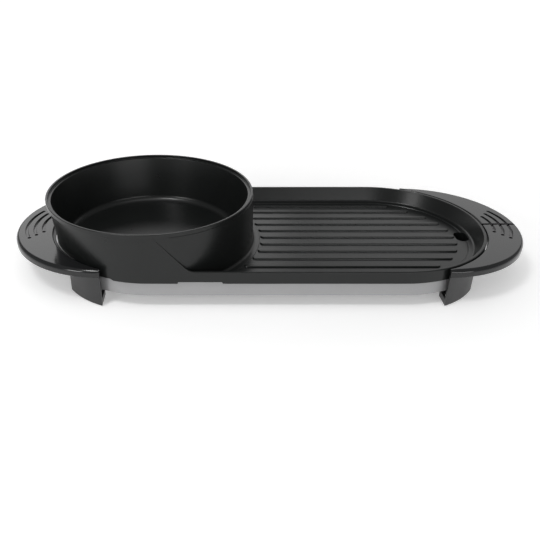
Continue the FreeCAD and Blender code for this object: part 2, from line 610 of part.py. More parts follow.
def leg(end_x, arc_x, outward, side):
    """Hollow moulded leg with an arm that runs under the handle."""
    low = leg_tier(end_x, arc_x, outward, side, LEG_REACH_R, 0, PAD_PROUD, BASE_LIFT)
    band_top = SKIRT_Z - SKIRT_CLEAR
    middle = leg_tier(end_x, arc_x, outward, side, BAND_R + BAND_SEAT_GAP, 0, BASE_LIFT, band_top)
    arm_top = ARM_Z + ARM_T
    high = leg_tier(end_x, arc_x, outward, side, SKIRT_R + SKIRT_CLEAR, 0, band_top, HANDLE_LOW_Z)
    top = leg_tier(end_x, arc_x, outward, side, SKIRT_R + SKIRT_CLEAR, 0, HANDLE_LOW_Z, arm_top)
    top = top.common(crescent(end_x, arc_x, outward, HANDLE_T + ARM_GAP, HANDLE_LOW_Z, arm_top))
    arm = crescent(end_x, arc_x, outward, HANDLE_T + ARM_GAP, ARM_Z, arm_top)
    ys = sorted((side * ARM_END_V, side * HANDLE_R))
    arm = arm.common(block(end_x - 2 * HANDLE_R, end_x + 2 * HANDLE_R, ys[0], ys[1], ARM_Z, arm_top))
    body = joined([low, middle, high, top, arm])
    roof = BASE_LIFT - LEG_WALL
    seat_r = BAND_R + BAND_SEAT_GAP
    low_hollow = leg_tier(end_x, arc_x, outward, side, LEG_REACH_R, LEG_WALL, 0, roof)
    high_hollow = leg_tier(end_x, arc_x, outward, side, seat_r, LEG_WALL, roof, band_top - LEG_WALL)
    body = body.cut(low_hollow).cut(high_hollow)
    pad_x = end_x + outward * PAD_U
    pad_y = side * PAD_V
    boss = rod(PAD_BOSS_R, BASE_LIFT - PAD_PROUD, point(pad_x, pad_y, PAD_PROUD))
    outline = leg_tier(end_x, arc_x, outward, side, LEG_REACH_R, 0, PAD_PROUD, BASE_LIFT)
    bosses = [boss]
    for x, y in leg_screw_places():
        if (x - arc_x) * outward > 0 and y * side > 0 and abs(x - arc_x) < LEG_SCREW_RING_R:
            bosses.append(rod(LEG_BOSS_R, LEG_SCREW_L, point(x, y, BASE_LIFT - LEG_SCREW_L)))
    body = joined([body] + [b.common(outline) for b in bosses])
    body = body.cut(hole(PAD_R, PAD_H, point(pad_x, pad_y, 0)))
    for x, y in leg_screw_places():
        body = body.cut(hole(SCREW_R, LEG_SCREW_L, point(x, y, BASE_LIFT - LEG_SCREW_L + PAN_T)))
    for x, y in handle_screw_places(arc_x, outward, side):
        body = body.cut(hole(HANDLE_SCREW_R, ARM_T + 2, point(x, y, ARM_Z - 1)))
    return body


def foot_pad(end_x, outward, side):
    return rod(PAD_R, PAD_H, point(end_x + outward * PAD_U, side * PAD_V, 0))


def groove(end_x, outward, r, half_length):
    """Shallow curved groove with round ends, cut into a handle's top."""
    z = HANDLE_TOP_Z - GROOVE_DEPTH
    centre_x = end_x + outward * GROOVE_U
    angle = math.asin(half_length / r)
    slot = ring(r - GROOVE_W / 2, r + GROOVE_W / 2, z, HANDLE_TOP_Z + 1, centre_x)
    x_end = centre_x + outward * r * math.cos(angle)
    xs = sorted((x_end, centre_x + outward * (r + GROOVE_W)))
    slot = slot.common(block(xs[0], xs[1], -half_length, half_length, z, HANDLE_TOP_Z + 1))
    ends = [rod(GROOVE_W / 2, GROOVE_DEPTH + 1, point(x_end, side * half_length, z)) for side in (-1, 1)]
    return [slot] + ends


def handle(end_x, arc_x, outward):
    """Glossy crescent cover: a top, and an outer lip that turns down with a rounded edge."""
    body = crescent(end_x, arc_x, outward, 0, HANDLE_LOW_Z, HANDLE_TOP_Z)
    reach = HANDLE_U + HANDLE_R
    boxes = [(e, e.BoundBox) for e in edges_at(body, HANDLE_TOP_Z)]
    far = [e for e, box in boxes if max(abs(box.XMax - end_x), abs(box.XMin - end_x)) > reach - 0.1]
    body = body.makeFillet(HANDLE_ROUND, far)
    body = body.cut(crescent(end_x, arc_x, outward, HANDLE_T, HANDLE_LOW_Z - 1, HANDLE_TOP_Z - HANDLE_T))
    for groove_reach, half_length in zip(GROOVE_REACHES, GROOVE_HALF_L):
        for cutter in groove(end_x, outward, SKIRT_R + groove_reach - GROOVE_U, half_length):
            body = body.cut(cutter)
    for side in (-1, 1):
        for x, y in handle_screw_places(arc_x, outward, side):
            body = body.cut(hole(HANDLE_SCREW_R, HANDLE_SCREW_L, point(x, y, ARM_Z)))
    return body


def handle_half(end_x, arc_x, outward, side):
    ys = sorted((0, side * HANDLE_R))
    keep = block(end_x - 2 * HANDLE_R, end_x + 2 * HANDLE_R, ys[0], ys[1], 0, HANDLE_TOP_Z + 1)
    return handle(end_x, arc_x, outward).common(keep)


def screw(r, length, head_r, start, direction):
    """Screw whose head's seat is at start and whose shank runs along direction."""
    back = start - direction * SCREW_HEAD_H
    return joined([rod(head_r, SCREW_HEAD_H, back, direction), rod(r, length, start, direction)])


def handle_screws():
    solids = []
    for arc_x, outward in ((LEFT_X, -1), (RIGHT_X, 1)):
        for side in (-1, 1):
            for x, y in handle_screw_places(arc_x, outward, side):
                solids.append(screw(HANDLE_SCREW_R, HANDLE_SCREW_L, SMALL_HEAD_R, point(x, y, ARM_Z), UP))
    return Part.makeCompound(solids)


def leg_screws():
    down = point(0, 0, -1)
    heads = [point(x, y, PAN_TOP_Z) for x, y in leg_screw_places()]
    return Part.makeCompound([screw(SCREW_R, LEG_SCREW_L, SCREW_HEAD_R, head, down) for head in heads])


def swept_tube(edges, r):
    path = Part.Wire(edges)
    start = path.Edges[0].valueAt(path.Edges[0].FirstParameter)
    direction = path.Edges[0].tangentAt(path.Edges[0].FirstParameter)
    profile = Part.Wire([Part.makeCircle(r, start, direction)])
    return path.makePipeShell([profile], True, False)


def arc_about(cx, cy, r, degrees0, degrees1, z):
    """Arc about (cx, cy) from one angle to another, the way that the angles run."""
    angles = [math.radians(degrees0 + (degrees1 - degrees0) * t) for t in (0, 0.5, 1)]
    spots = [point(cx + r * math.cos(a), cy + r * math.sin(a), z) for a in angles]
    return Part.Arc(spots[0], spots[1], spots[2]).toShape()


def pot_heating_element():
    """Ring tube under the pot, whose two cold ends turn out side by side towards the rear."""
    z = POT_TUBE_Z
    bend_x = LEG_PAIR_HALF + LEG_BEND_R
    bend_y = math.sqrt((POT_RING_R + LEG_BEND_R) ** 2 - bend_x ** 2)
    meet = math.degrees(math.atan2(bend_y, bend_x))
    right_x = POT_X + LEG_PAIR_HALF
    left_x = POT_X - LEG_PAIR_HALF
    edges = [
        Part.LineSegment(point(right_x, COLD_END_Y, z), point(right_x, bend_y, z)).toShape(),
        arc_about(POT_X + bend_x, bend_y, LEG_BEND_R, 180, 180 + meet, z),
        arc_about(POT_X, 0, POT_RING_R, meet, -90, z),
        arc_about(POT_X, 0, POT_RING_R, -90, -180 - meet, z),
        arc_about(POT_X - bend_x, bend_y, LEG_BEND_R, -meet, 0, z),
        Part.LineSegment(point(left_x, bend_y, z), point(left_x, COLD_END_Y, z)).toShape(),
    ]
    return swept_tube(edges, TUBE_R)


def grill_heating_element():
    """Long loop tube under the grill, with its cold ends side by side towards the rear."""
    z = GRILL_TUBE_Z
    r = GRILL_LOOP_R
    bend = LEG_BEND_R
    right_x = GRILL_LEGS_X + LEG_PAIR_HALF
    left_x = GRILL_LEGS_X - LEG_PAIR_HALF
    edges = [
        Part.LineSegment(point(right_x, COLD_END_Y, z), point(right_x, r + bend, z)).toShape(),
        arc_about(right_x + bend, r + bend, bend, 180, 270, z),
        Part.LineSegment(point(right_x + bend, r, z), point(GRILL_X, r, z)).toShape(),
        arc_about(GRILL_X, 0, r, 90, -90, z),
        Part.LineSegment(point(GRILL_X, -r, z), point(GRILL_LOOP_X0, -r, z)).toShape(),
        arc_about(GRILL_LOOP_X0, 0, r, 270, 90, z),
        Part.LineSegment(point(GRILL_LOOP_X0, r, z), point(left_x - bend, r, z)).toShape(),
        arc_about(left_x - bend, r + bend, bend, 270, 360, z),
        Part.LineSegment(point(left_x, r + bend, z), point(left_x, COLD_END_Y, z)).toShape(),
    ]
    return swept_tube(edges, TUBE_R)


def saddle(x, y, degrees, tube_z):
    """Steel saddle that carries a tube above the reflector; degrees is the tube's direction."""
    body = block(-CLIP_L / 2, CLIP_L / 2, -CLIP_W / 2, CLIP_W / 2, REFLECTOR_TOP_Z, tube_z)
    body = body.cut(hole(TUBE_R, CLIP_L + 2, point(-CLIP_L / 2 - 1, 0, tube_z), ALONG_X))
    body.rotate(point(0, 0, 0), UP, degrees)
    body.translate(point(x, y, 0))
    return body


def element_saddles():
    solids = []
    for degrees in (0, 180, 270):
        angle = math.radians(degrees)
        x = POT_X + POT_RING_R * math.cos(angle)
        solids.append(saddle(x, POT_RING_R * math.sin(angle), degrees + 90, POT_TUBE_Z))
    middle_x = (GRILL_X + GRILL_LOOP_X0) / 2
    solids.append(saddle(middle_x, -GRILL_LOOP_R, 0, GRILL_TUBE_Z))
    solids.append(saddle(GRILL_X, GRILL_LOOP_R, 0, GRILL_TUBE_Z))
    solids.append(saddle(GRILL_X + GRILL_LOOP_R, 0, 90, GRILL_TUBE_Z))
    solids.append(saddle(GRILL_LOOP_X0 - GRILL_LOOP_R, 0, 90, GRILL_TUBE_Z))
    return Part.makeCompound(solids)


def reflector(x0, x1, r):
    """Bright sheet that throws the heat up, on a turned-down edge that stands on the pan."""
    edge_r = r - REFLECTOR_LIP_T
    if x1 > x0:
        sheet = oval(x0, x1, r, REFLECTOR_Z, REFLECTOR_TOP_Z)
        lip = oval(x0, x1, r, PAN_TOP_Z, REFLECTOR_Z).cut(oval(x0, x1, edge_r, PAN_TOP_Z, REFLECTOR_Z))
    else:
        sheet = rod(r, REFLECTOR_T, point(x0, 0, REFLECTOR_Z))
        lip = ring(edge_r, r, PAN_TOP_Z, REFLECTOR_Z, x0)
    return joined([sheet, lip])


def thermal_cutouts():
    """Two button cut-outs that sit just under the plate, one in each heating zone."""
    top_z = PLATE_Z - TUBE_GAP
    pot_button = rod(CUTOUT_R, top_z - REFLECTOR_TOP_Z, point(POT_X, 0, REFLECTOR_TOP_Z))
    grill_x = (GRILL_X + GRILL_LOOP_X0) / 2
    grill_button = rod(CUTOUT_R, top_z - REFLECTOR_TOP_Z, point(grill_x, 0, REFLECTOR_TOP_Z))
    return Part.makeCompound([pot_button, grill_button])


def control_housing():
    """Black moulded box on the rear side, open towards the panel, with holes for the leads and inlet."""
    shell = block(-HOUSING_HALF_L, HOUSING_HALF_L, HOUSING_Y0, HOUSING_Y1, HOUSING_BOTTOM_Z, HOUSING_TOP_Z)
    inside = block(
        -HOUSING_HALF_L + HOUSING_WALL,
        HOUSING_HALF_L - HOUSING_WALL,
        HOUSING_Y0 + HOUSING_WALL,
        HOUSING_Y1 + 1,
        HOUSING_BOTTOM_Z + HOUSING_WALL,
        HOUSING_TOP_Z - HOUSING_WALL,
    )
    box = shell.cut(inside).cut(wire_hole(HOUSING_Y0 - 1, HOUSING_Y0 + HOUSING_WALL + 1))
    y0, y1, z0, z1 = inlet_span()
    box = box.cut(block(-HOUSING_HALF_L - 1, -HOUSING_HALF_L + HOUSING_WALL + 1, y0, y1, z0, z1))
    post_starts = panel_screw_places(HOUSING_Y0 + HOUSING_WALL)
    posts = [rod(LEG_BOSS_R, HOUSING_REACH - HOUSING_WALL, start, ALONG_Y) for start in post_starts]
    box = joined([box] + [post.common(shell) for post in posts])
    for start in panel_screw_places(HOUSING_Y1 - PANEL_SCREW_L):
        box = box.cut(hole(HANDLE_SCREW_R, PANEL_SCREW_L + 1, start, ALONG_Y))
    for x in housing_screw_xs():
        start = point(x, HOUSING_Y0 - 1, HOUSING_SCREW_Z)
        box = box.cut(hole(HANDLE_SCREW_R, HOUSING_WALL + 2, start, ALONG_Y))
    return box


def panel_screw_places(y):
    """The two screw axes near the right end of the box; the inlet's flange holds the left end."""
    low_z = HOUSING_BOTTOM_Z + PANEL_SCREW_INSET
    high_z = HOUSING_TOP_Z - PANEL_SCREW_INSET
    right_x = HOUSING_HALF_L - PANEL_SCREW_INSET
    return [point(right_x, y, low_z), point(right_x, y, high_z)]


def inlet_span():
    """Y and Z limits of the inlet's moulded body."""
    y0 = HOUSING_Y0 + HOUSING_WALL + INLET_Y_GAP
    z0 = KNOB_Z - INLET_H / 2
    return y0, y0 + INLET_W, z0, z0 + INLET_H


def control_panel():
    """Flat fascia that carries the thermostats and lamps, with the dials printed on it."""
    plate = block(-HOUSING_HALF_L, HOUSING_HALF_L, HOUSING_Y1, PANEL_Y1, HOUSING_BOTTOM_Z, HOUSING_TOP_Z)
    for side in (-1, 1):
        plate = plate.cut(hole(BUSH_R, PANEL_T + 2, point(side * KNOB_X, HOUSING_Y1 - 1, KNOB_Z), ALONG_Y))
        plate = plate.cut(hole(LAMP_R, PANEL_T + 2, point(side * LAMP_X, HOUSING_Y1 - 1, KNOB_Z), ALONG_Y))
    for start in panel_screw_places(HOUSING_Y1 - 1):
        plate = plate.cut(hole(HANDLE_SCREW_R, PANEL_T + 2, start, ALONG_Y))
    return plate


def thermostat(x):
    """Bimetal thermostat behind the panel, with a bush that passes through it."""
    half_w = THERMOSTAT_W / 2
    low_z = KNOB_Z - THERMOSTAT_H / 2
    body = block(x - half_w, x + half_w, HOUSING_Y1 - THERMOSTAT_L, HOUSING_Y1, low_z, low_z + THERMOSTAT_H)
    bush = rod(BUSH_R, PANEL_T + BUSH_PROUD, point(x, HOUSING_Y1, KNOB_Z), ALONG_Y)
    bore_l = SPINDLE_IN + SPINDLE_FIT + PANEL_T + BUSH_PROUD
    bore_start = point(x, HOUSING_Y1 - SPINDLE_IN - SPINDLE_FIT, KNOB_Z)
    return joined([body, bush]).cut(rod(SPINDLE_R + SPINDLE_FIT, bore_l, bore_start, ALONG_Y))


def bush_nuts():
    """Hexagon nuts on the thermostats' bushes."""
    solids = []
    for x in (-KNOB_X, KNOB_X):
        angles = [math.radians(60 * number) for number in range(7)]
        corners = [point(x + NUT_R * math.cos(a), PANEL_Y1, KNOB_Z + NUT_R * math.sin(a)) for a in angles]
        nut = Part.Face(Part.makePolygon(corners)).extrude(point(0, NUT_H, 0))
        solids.append(nut.cut(rod(BUSH_R, NUT_H + 2, point(x, PANEL_Y1 - 1, KNOB_Z), ALONG_Y)))
    return Part.makeCompound(solids)


def spindle(x):
    """Steel spindle from its thermostat into the knob's socket."""
    start_y = HOUSING_Y1 - SPINDLE_IN
    return rod(SPINDLE_R, KNOB_Y1 - KNOB_CAP_T - start_y, point(x, start_y, KNOB_Z), ALONG_Y)


def knob(x):
    """Round knob with a raised grip bar, hollow behind so that it clears the nut."""
    body = rod(KNOB_R, KNOB_L, point(x, KNOB_Y0, KNOB_Z), ALONG_Y)
    body = body.makeFillet(GRIP_PROUD / 2, edges_at_y(body, KNOB_Y1))
    half_bar = KNOB_R - GRIP_END_GAP
    bar_y1 = KNOB_Y1 + GRIP_PROUD
    bar = block(x - GRIP_W / 2, x + GRIP_W / 2, KNOB_Y1 - 1, bar_y1, KNOB_Z - half_bar, KNOB_Z + half_bar)
    body = joined([body, bar])
    hollow_l = KNOB_L - KNOB_CAP_T - KNOB_SOCKET_L
    hollow = rod(KNOB_R - KNOB_SKIRT_T, hollow_l, point(x, KNOB_Y0, KNOB_Z), ALONG_Y)
    socket = rod(SPINDLE_R, KNOB_L - KNOB_CAP_T, point(x, KNOB_Y0, KNOB_Z), ALONG_Y)
    return body.cut(hollow).cut(socket)


def pilot_lamp(x):
    """Domed lens pushed through the panel from behind, with a flange that holds it."""
    lens = rod(LAMP_R, PANEL_T + LAMP_PROUD, point(x, HOUSING_Y1, KNOB_Z), ALONG_Y)
    lens = lens.makeFillet(LAMP_ROUND, edges_at_y(lens, PANEL_Y1 + LAMP_PROUD))
    flange = rod(LAMP_FLANGE_R, LAMP_FLANGE_T, point(x, HOUSING_Y1 - LAMP_FLANGE_T, KNOB_Z), ALONG_Y)
    return joined([lens, flange])


def terminal_block():
    y0 = HOUSING_Y0 + HOUSING_WALL
    z0 = HOUSING_BOTTOM_Z + HOUSING_WALL
    z1 = HOUSING_TOP_Z - HOUSING_WALL - BLOCK_TOP_GAP
    return block(-BLOCK_W / 2, BLOCK_W / 2, y0, y0 + BLOCK_L, z0, z1)


def power_inlet():
    """Moulded inlet in the left end of the box: a flange outside, and a deep socket."""
    y0, y1, z0, z1 = inlet_span()
    x0 = -HOUSING_HALF_L
    x1 = x0 + INLET_DEPTH + INLET_WALL
    body = block(x0, x1, y0, y1, z0, z1)
    edge = INLET_FLANGE
    flange = block(x0 - INLET_FLANGE_T, x0, y0 - edge, y1 + edge, z0 - edge, z1 + edge)
    body = joined([body, flange])
    wall = INLET_WALL
    socket = block(x0 - INLET_FLANGE_T - 1, x1 - wall, y0 + wall, y1 - wall, z0 + wall, z1 - wall)
    return body.cut(socket)


def inlet_pins():
    y0, y1, z0, z1 = inlet_span()
    floor_x = -HOUSING_HALF_L + INLET_DEPTH
    low_y = (y0 + y1 - PIN_T) / 2
    low_z = (z0 + z1 - PIN_W) / 2
    solids = []
    for dy, dz in ((-PIN_SPREAD, -PIN_SPREAD / 2), (PIN_SPREAD, -PIN_SPREAD / 2), (0, PIN_SPREAD / 2)):
        y = low_y + dy
        z = low_z + dz
        solids.append(block(floor_x - PIN_L, floor_x, y, y + PIN_T, z, z + PIN_W))
    return Part.makeCompound(solids)


def panel_screws():
    back = point(0, -1, 0)
    places = panel_screw_places(PANEL_Y1)
    return Part.makeCompound([screw(HANDLE_SCREW_R, PANEL_SCREW_L, SMALL_HEAD_R, p, back) for p in places])


def housing_screws():
    seats = [point(x, PAN_R, HOUSING_SCREW_Z) for x in housing_screw_xs()]
    solids = [screw(HANDLE_SCREW_R, HOUSING_SCREW_L, SMALL_HEAD_R, seat, ALONG_Y) for seat in seats]
    return Part.makeCompound(solids)


def bent_wire(corners, r):
    """Lead along straight runs, with a tangent bend at each corner as large as its shorter run allows."""
    edges = []
    start = corners[0]
    for index in range(1, len(corners) - 1):
        before = corners[index] - corners[index - 1]
        after = corners[index + 1] - corners[index]
        turn = before.getAngle(after)
        reach = 0.45 * min(before.Length, after.Length)
        bend_r = reach / math.tan(turn / 2)
        a = corners[index] - before.normalize() * reach
        b = corners[index] + after.normalize() * reach
        inward = (a + b) * 0.5 - corners[index]
        middle = corners[index] + inward.normalize() * (bend_r / math.cos(turn / 2) - bend_r)
        edges.append(Part.LineSegment(start, a).toShape())
        edges.append(Part.Arc(a, middle, b).toShape())
        start = b
    edges.append(Part.LineSegment(start, corners[-1]).toShape())
    return swept_tube(edges, r)


def element_leads():
    """Four leads from the elements' cold ends, side by side along the rear wall, to the terminal block."""
    end_y = HOUSING_Y0 + HOUSING_WALL
    first_y = COLD_END_Y + WIRE_LANE_GAP + WIRE_R * 2
    solids = []
    for legs_x, z, inward in ((POT_X, POT_TUBE_Z, 1), (GRILL_LEGS_X, GRILL_TUBE_Z, -1)):
        for lane in (0, 1):
            x0 = legs_x + inward * LEG_PAIR_HALF * (1 - 2 * lane)
            y = first_y + WIRE_PITCH * lane
            x1 = -inward * (WIRE_PITCH * (1.5 + lane))
            corners = [point(x0, COLD_END_Y, z), point(x0, y, z), point(x1, y, z), point(x1, end_y, z)]
            solids.append(bent_wire(corners, WIRE_R))
    return Part.makeCompound(solids)


def supply_leads():
    """Two leads straight from the inlet to the terminal block, and a jumper to each thermostat."""
    y = (HOUSING_Y0 + HOUSING_WALL + HOUSING_Y1 - THERMOSTAT_L) / 2
    x0 = -HOUSING_HALF_L + INLET_DEPTH + INLET_WALL
    x1 = -BLOCK_W / 2
    solids = []
    for side in (-1, 1):
        solids.append(rod(WIRE_R, x1 - x0, point(x0, y, KNOB_Z + side * WIRE_PITCH), ALONG_X))
    thermostat_y = HOUSING_Y1 - THERMOSTAT_L
    jumper_y = (thermostat_y + HOUSING_Y0 + HOUSING_WALL + BLOCK_L) / 2
    gap = KNOB_X - THERMOSTAT_W / 2 - BLOCK_W / 2
    for side in (-1, 1):
        near_x = min(side * BLOCK_W / 2, side * (BLOCK_W / 2 + gap))
        for level in (-1, 1):
            solids.append(rod(WIRE_R, gap, point(near_x, jumper_y, KNOB_Z + level * WIRE_PITCH), ALONG_X))
    return Part.makeCompound(solids)


def tray_limits():
    """Heights of the tray's underside and of its top."""
    top_z = BASE_LIFT - TRAY_TOP_GAP
    return top_z - TRAY_H, top_z


def drip_tray():
    """Shallow tray under the drain, with side flanges that ride on rails and a tab to pull it out by."""
    z0, z1 = tray_limits()
    body = block(TRAY_X0, TRAY_X1, -TRAY_HALF_W, TRAY_HALF_W, z0, z1)
    flange_y = TRAY_HALF_W + TRAY_FLANGE
    flanges = block(TRAY_X0, TRAY_X1, -flange_y, flange_y, z1 - TRAY_WALL, z1)
    tab = block(TRAY_X1 - TRAY_WALL, TRAY_X1 + TAB_L, -TAB_HALF_W, TAB_HALF_W, z1 - TAB_H, z1)
    inner_y = TRAY_HALF_W - TRAY_WALL
    inside = block(TRAY_X0 + TRAY_WALL, TRAY_X1 - TRAY_WALL, -inner_y, inner_y, z0 + TRAY_WALL, z1 + 1)
    return joined([body, flanges, tab]).cut(inside)


def drip_rail(side):
    """Angle rail under the pan that a flange of the tray rides on."""
    z0, z1 = tray_limits()
    ledge_z = z1 - TRAY_WALL - TRAY_SLIDE_GAP
    inner_y = TRAY_HALF_W + TRAY_SLIDE_GAP * 2
    web_y = TRAY_HALF_W + TRAY_FLANGE + TRAY_SLIDE_GAP
    outer_y = web_y + RAIL_T
    ys = sorted((side * inner_y, side * outer_y))
    ledge = block(TRAY_X0, TRAY_X1, ys[0], ys[1], ledge_z - RAIL_T, ledge_z)
    ys = sorted((side * web_y, side * outer_y))
    web = block(TRAY_X0, TRAY_X1, ys[0], ys[1], ledge_z - RAIL_T, BASE_LIFT)
    return joined([ledge, web])


PIECES = {
    "cooking_plate": cooking_plate(),
    "base_band": base_band(),
    "base_pan": base_pan(),
    "handle_left": handle(POT_X, LEFT_X, -1),
    "handle_right_front": handle_half(GRILL_X, RIGHT_X, 1, -1),
    "handle_right_rear": handle_half(GRILL_X, RIGHT_X, 1, 1),
    "handle_screws": handle_screws(),
    "leg_screws": leg_screws(),
    "pot_heating_element": pot_heating_element(),
    "grill_heating_element": grill_heating_element(),
    "element_saddles": element_saddles(),
    "pot_reflector": reflector(POT_X, POT_X, POT_REFLECTOR_R),
    "grill_reflector": reflector(GRILL_REFLECTOR_X0, GRILL_X, GRILL_REFLECTOR_R),
    "thermal_cutouts": thermal_cutouts(),
    "control_housing": control_housing(),
    "control_panel": control_panel(),
    "pot_thermostat": thermostat(-KNOB_X),
    "grill_thermostat": thermostat(KNOB_X),
    "bush_nuts": bush_nuts(),
    "pot_spindle": spindle(-KNOB_X),
    "grill_spindle": spindle(KNOB_X),
    "pot_knob": knob(-KNOB_X),
    "grill_knob": knob(KNOB_X),
    "pot_pilot_lamp": pilot_lamp(-LAMP_X),
    "grill_pilot_lamp": pilot_lamp(LAMP_X),
    "terminal_block": terminal_block(),
    "power_inlet": power_inlet(),
    "inlet_pins": inlet_pins(),
    "panel_screws": panel_screws(),
    "housing_screws": housing_screws(),
    "element_leads": element_leads(),
    "supply_leads": supply_leads(),
    "drip_tray": drip_tray(),
    "drip_rail_front": drip_rail(-1),
    "drip_rail_rear": drip_rail(1),
}

for end_name, end_x, arc_x, outward in (("left", POT_X, LEFT_X, -1), ("right", GRILL_X, RIGHT_X, 1)):
    for side_name, side in (("front", -1), ("rear", 1)):
        PIECES["leg_" + end_name + "_" + side_name] = leg(end_x, arc_x, outward, side)
        PIECES["foot_pad_" + end_name + "_" + side_name] = foot_pad(end_x, outward, side)

for name, shape in PIECES.items():
    placed = shape.copy()
    placed.translate(point(0, -CENTRE_Y, 0))
    placed.exportStep("parts/" + name + ".step")
    volume = round(placed.Volume / 1000, 2)
    print(name, "solids", len(placed.Solids), "volume", volume, "cm3", placed.isValid())
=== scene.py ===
import math

import bmesh
import bpy
import numpy as np
from mathutils import Matrix, Vector


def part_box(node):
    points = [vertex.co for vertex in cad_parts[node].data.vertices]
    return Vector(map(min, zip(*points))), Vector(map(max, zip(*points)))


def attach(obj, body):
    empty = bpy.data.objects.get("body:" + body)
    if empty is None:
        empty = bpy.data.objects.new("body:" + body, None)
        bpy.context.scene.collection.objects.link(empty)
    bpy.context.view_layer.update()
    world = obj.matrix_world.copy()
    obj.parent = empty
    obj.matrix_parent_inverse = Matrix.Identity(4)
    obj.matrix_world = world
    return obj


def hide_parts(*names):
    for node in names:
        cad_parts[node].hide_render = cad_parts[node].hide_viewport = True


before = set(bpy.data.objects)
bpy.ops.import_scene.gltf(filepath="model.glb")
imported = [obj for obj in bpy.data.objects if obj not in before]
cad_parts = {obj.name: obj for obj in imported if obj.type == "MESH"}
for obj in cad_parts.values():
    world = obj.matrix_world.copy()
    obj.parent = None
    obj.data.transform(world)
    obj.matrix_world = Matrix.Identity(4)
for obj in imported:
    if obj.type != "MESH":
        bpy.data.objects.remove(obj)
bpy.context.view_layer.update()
MM = 0.001


# Base pan: one pressed steel sheet that closes the appliance from below, painted dark grey. Its posts
# carry the cooking plate, and everything else is screwed to it or to the band round it.
class Value:
    """An output socket of a finish. Sums, differences and products with it add Math nodes."""

    def __init__(self, finish, socket):
        self.finish = finish
        self.socket = socket

    def _math(self, operation, first, second):
        return self.finish.add("ShaderNodeMath", {"operation": operation}, {0: first, 1: second})

    def __add__(self, other):
        return self._math("ADD", self, other)

    def __sub__(self, other):
        return self._math("SUBTRACT", self, other)

    def __rsub__(self, other):
        return self._math("SUBTRACT", other, self)

    def __mul__(self, other):
        return self._math("MULTIPLY", self, other)

    def peak(self, other):
        return self._math("MAXIMUM", self, other)

    __radd__ = __add__
    __rmul__ = __mul__


class Finish:
    """The node tree of a material, or of the world. Its nodes are added one by one."""

    def __init__(self, owner):
        self.owner = owner
        owner.use_nodes = True
        self.tree = owner.node_tree
        self.tree.nodes.clear()

    def add(self, kind, settings=None, sockets=None, output=0):
        """Adds a node of a kind, with its settings first and then the numbers or links of its sockets."""
        node = self.tree.nodes.new(kind)
        for name, setting in (settings or {}).items():
            if name == "stops":
                for stop, (position, grey) in zip(node.color_ramp.elements, setting):
                    stop.position = position
                    stop.color = (grey, grey, grey, 1)
            else:
                setattr(node, name, setting)
        for name, value in (sockets or {}).items():
            if isinstance(value, Value):
                self.tree.links.new(value.socket, node.inputs[name])
            else:
                node.inputs[name].default_value = (*value, 1) if isinstance(value, tuple) else value
        return Value(self, node.outputs[output]) if node.outputs else None

    def place(self, x=1.0, y=1.0, z=1.0):
        """The object's own coordinates, stretched along each axis."""
        where = self.add("ShaderNodeTexCoord", output="Object")
        return self.add("ShaderNodeMapping", {}, {"Vector": where, "Scale": Vector((x, y, z))})

    def noise(self, size, detail=2.0, roughness=0.5, place=None):
        """Cloudy noise from 0 to 1, whose blobs are about size metres across."""
        sockets = {"Vector": place or self.place(), "Scale": 1 / size}
        sockets |= {"Detail": detail, "Roughness": roughness}
        return self.add("ShaderNodeTexNoise", {}, sockets)

    def step(self, value, low, high):
        """0 where the value is under low, 1 where it is over high, and even between them."""
        return self.add("ShaderNodeValToRGB", {"stops": ((low, 0.0), (high, 1.0))}, {"Fac": value})

    def blend(self, factor, low, high):
        """A colour between low and high."""
        return self.add("ShaderNodeMix", {"data_type": "RGBA"}, {0: factor, 6: low, 7: high}, output=2)

    def bump(self, height, depth, strength=0.5, over=None):
        """The normal of a relief that is depth metres deep, on top of another relief if one is given."""
        sockets = {"Height": height, "Distance": depth, "Strength": strength}
        if over:
            sockets["Normal"] = over
        return self.add("ShaderNodeBump", {}, sockets)

    def coat(self, colour, roughness, relief, metallic=0.0, ior=1.5):
        """Ends a material in one Principled shader."""
        sockets = {"Base Color": colour, "Roughness": roughness, "Normal": relief}
        sockets |= {"Metallic": metallic, "IOR": ior}
        shader = self.add("ShaderNodeBsdfPrincipled", {}, sockets)
        self.add("ShaderNodeOutputMaterial", {}, {"Surface": shader})
        return self.owner


def finish(name):
    return Finish(bpy.data.materials.new(name))


def dress(material, *names):
    """Gives CAD nodes a finish."""
    for name in names:
        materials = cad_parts[name].data.materials
        materials.clear()
        materials.append(material)


PAN_DARK = (0.055, 0.055, 0.058)
PAN_LIGHT = (0.085, 0.084, 0.086)
PAN_ROUGHNESS = 0.46
PAN_UNEVEN = 0.12

f = finish("pan_steel")
dust = f.noise(size=25 * MM, detail=4, roughness=0.6)
orange_peel = f.bump(f.noise(size=1.1 * MM), depth=0.06 * MM)
pan_grey = f.blend(dust, PAN_DARK, PAN_LIGHT)
pan_steel = f.coat(pan_grey, dust * PAN_UNEVEN + PAN_ROUGHNESS, orange_peel, metallic=0.2)
dress(pan_steel, "base_pan")


# Silver band: a strip of sheet bent into an oval round the base and painted satin silver. It is let
# into the plate's skirt, and has a hole for the leads on the control side.
BAND_T = 2.0 * MM
BAND_EDGE_R = 0.5 * MM
WIRE_HOLE_W = 26.0 * MM
WIRE_HOLE_H = 9.0 * MM
WIRE_HOLE_LIFT = 2.5 * MM
SILVER_DARK = (0.355, 0.355, 0.36)
SILVER_LIGHT = (0.415, 0.415, 0.42)
SILVER_ROUGHNESS = 0.42
SILVER_UNEVEN = 0.08
FLAKE_SHARE = 0.5
CLOUD_SHARE = 0.3
FLAKE = 0.5 * MM
# A cutter stands out this far past what it cuts
PAST = 1.0 * MM
# Edges are rounded in so many steps, and points nearer than so much are one
BEVEL_STEPS = 3
SAME_POINT = 0.002 * MM

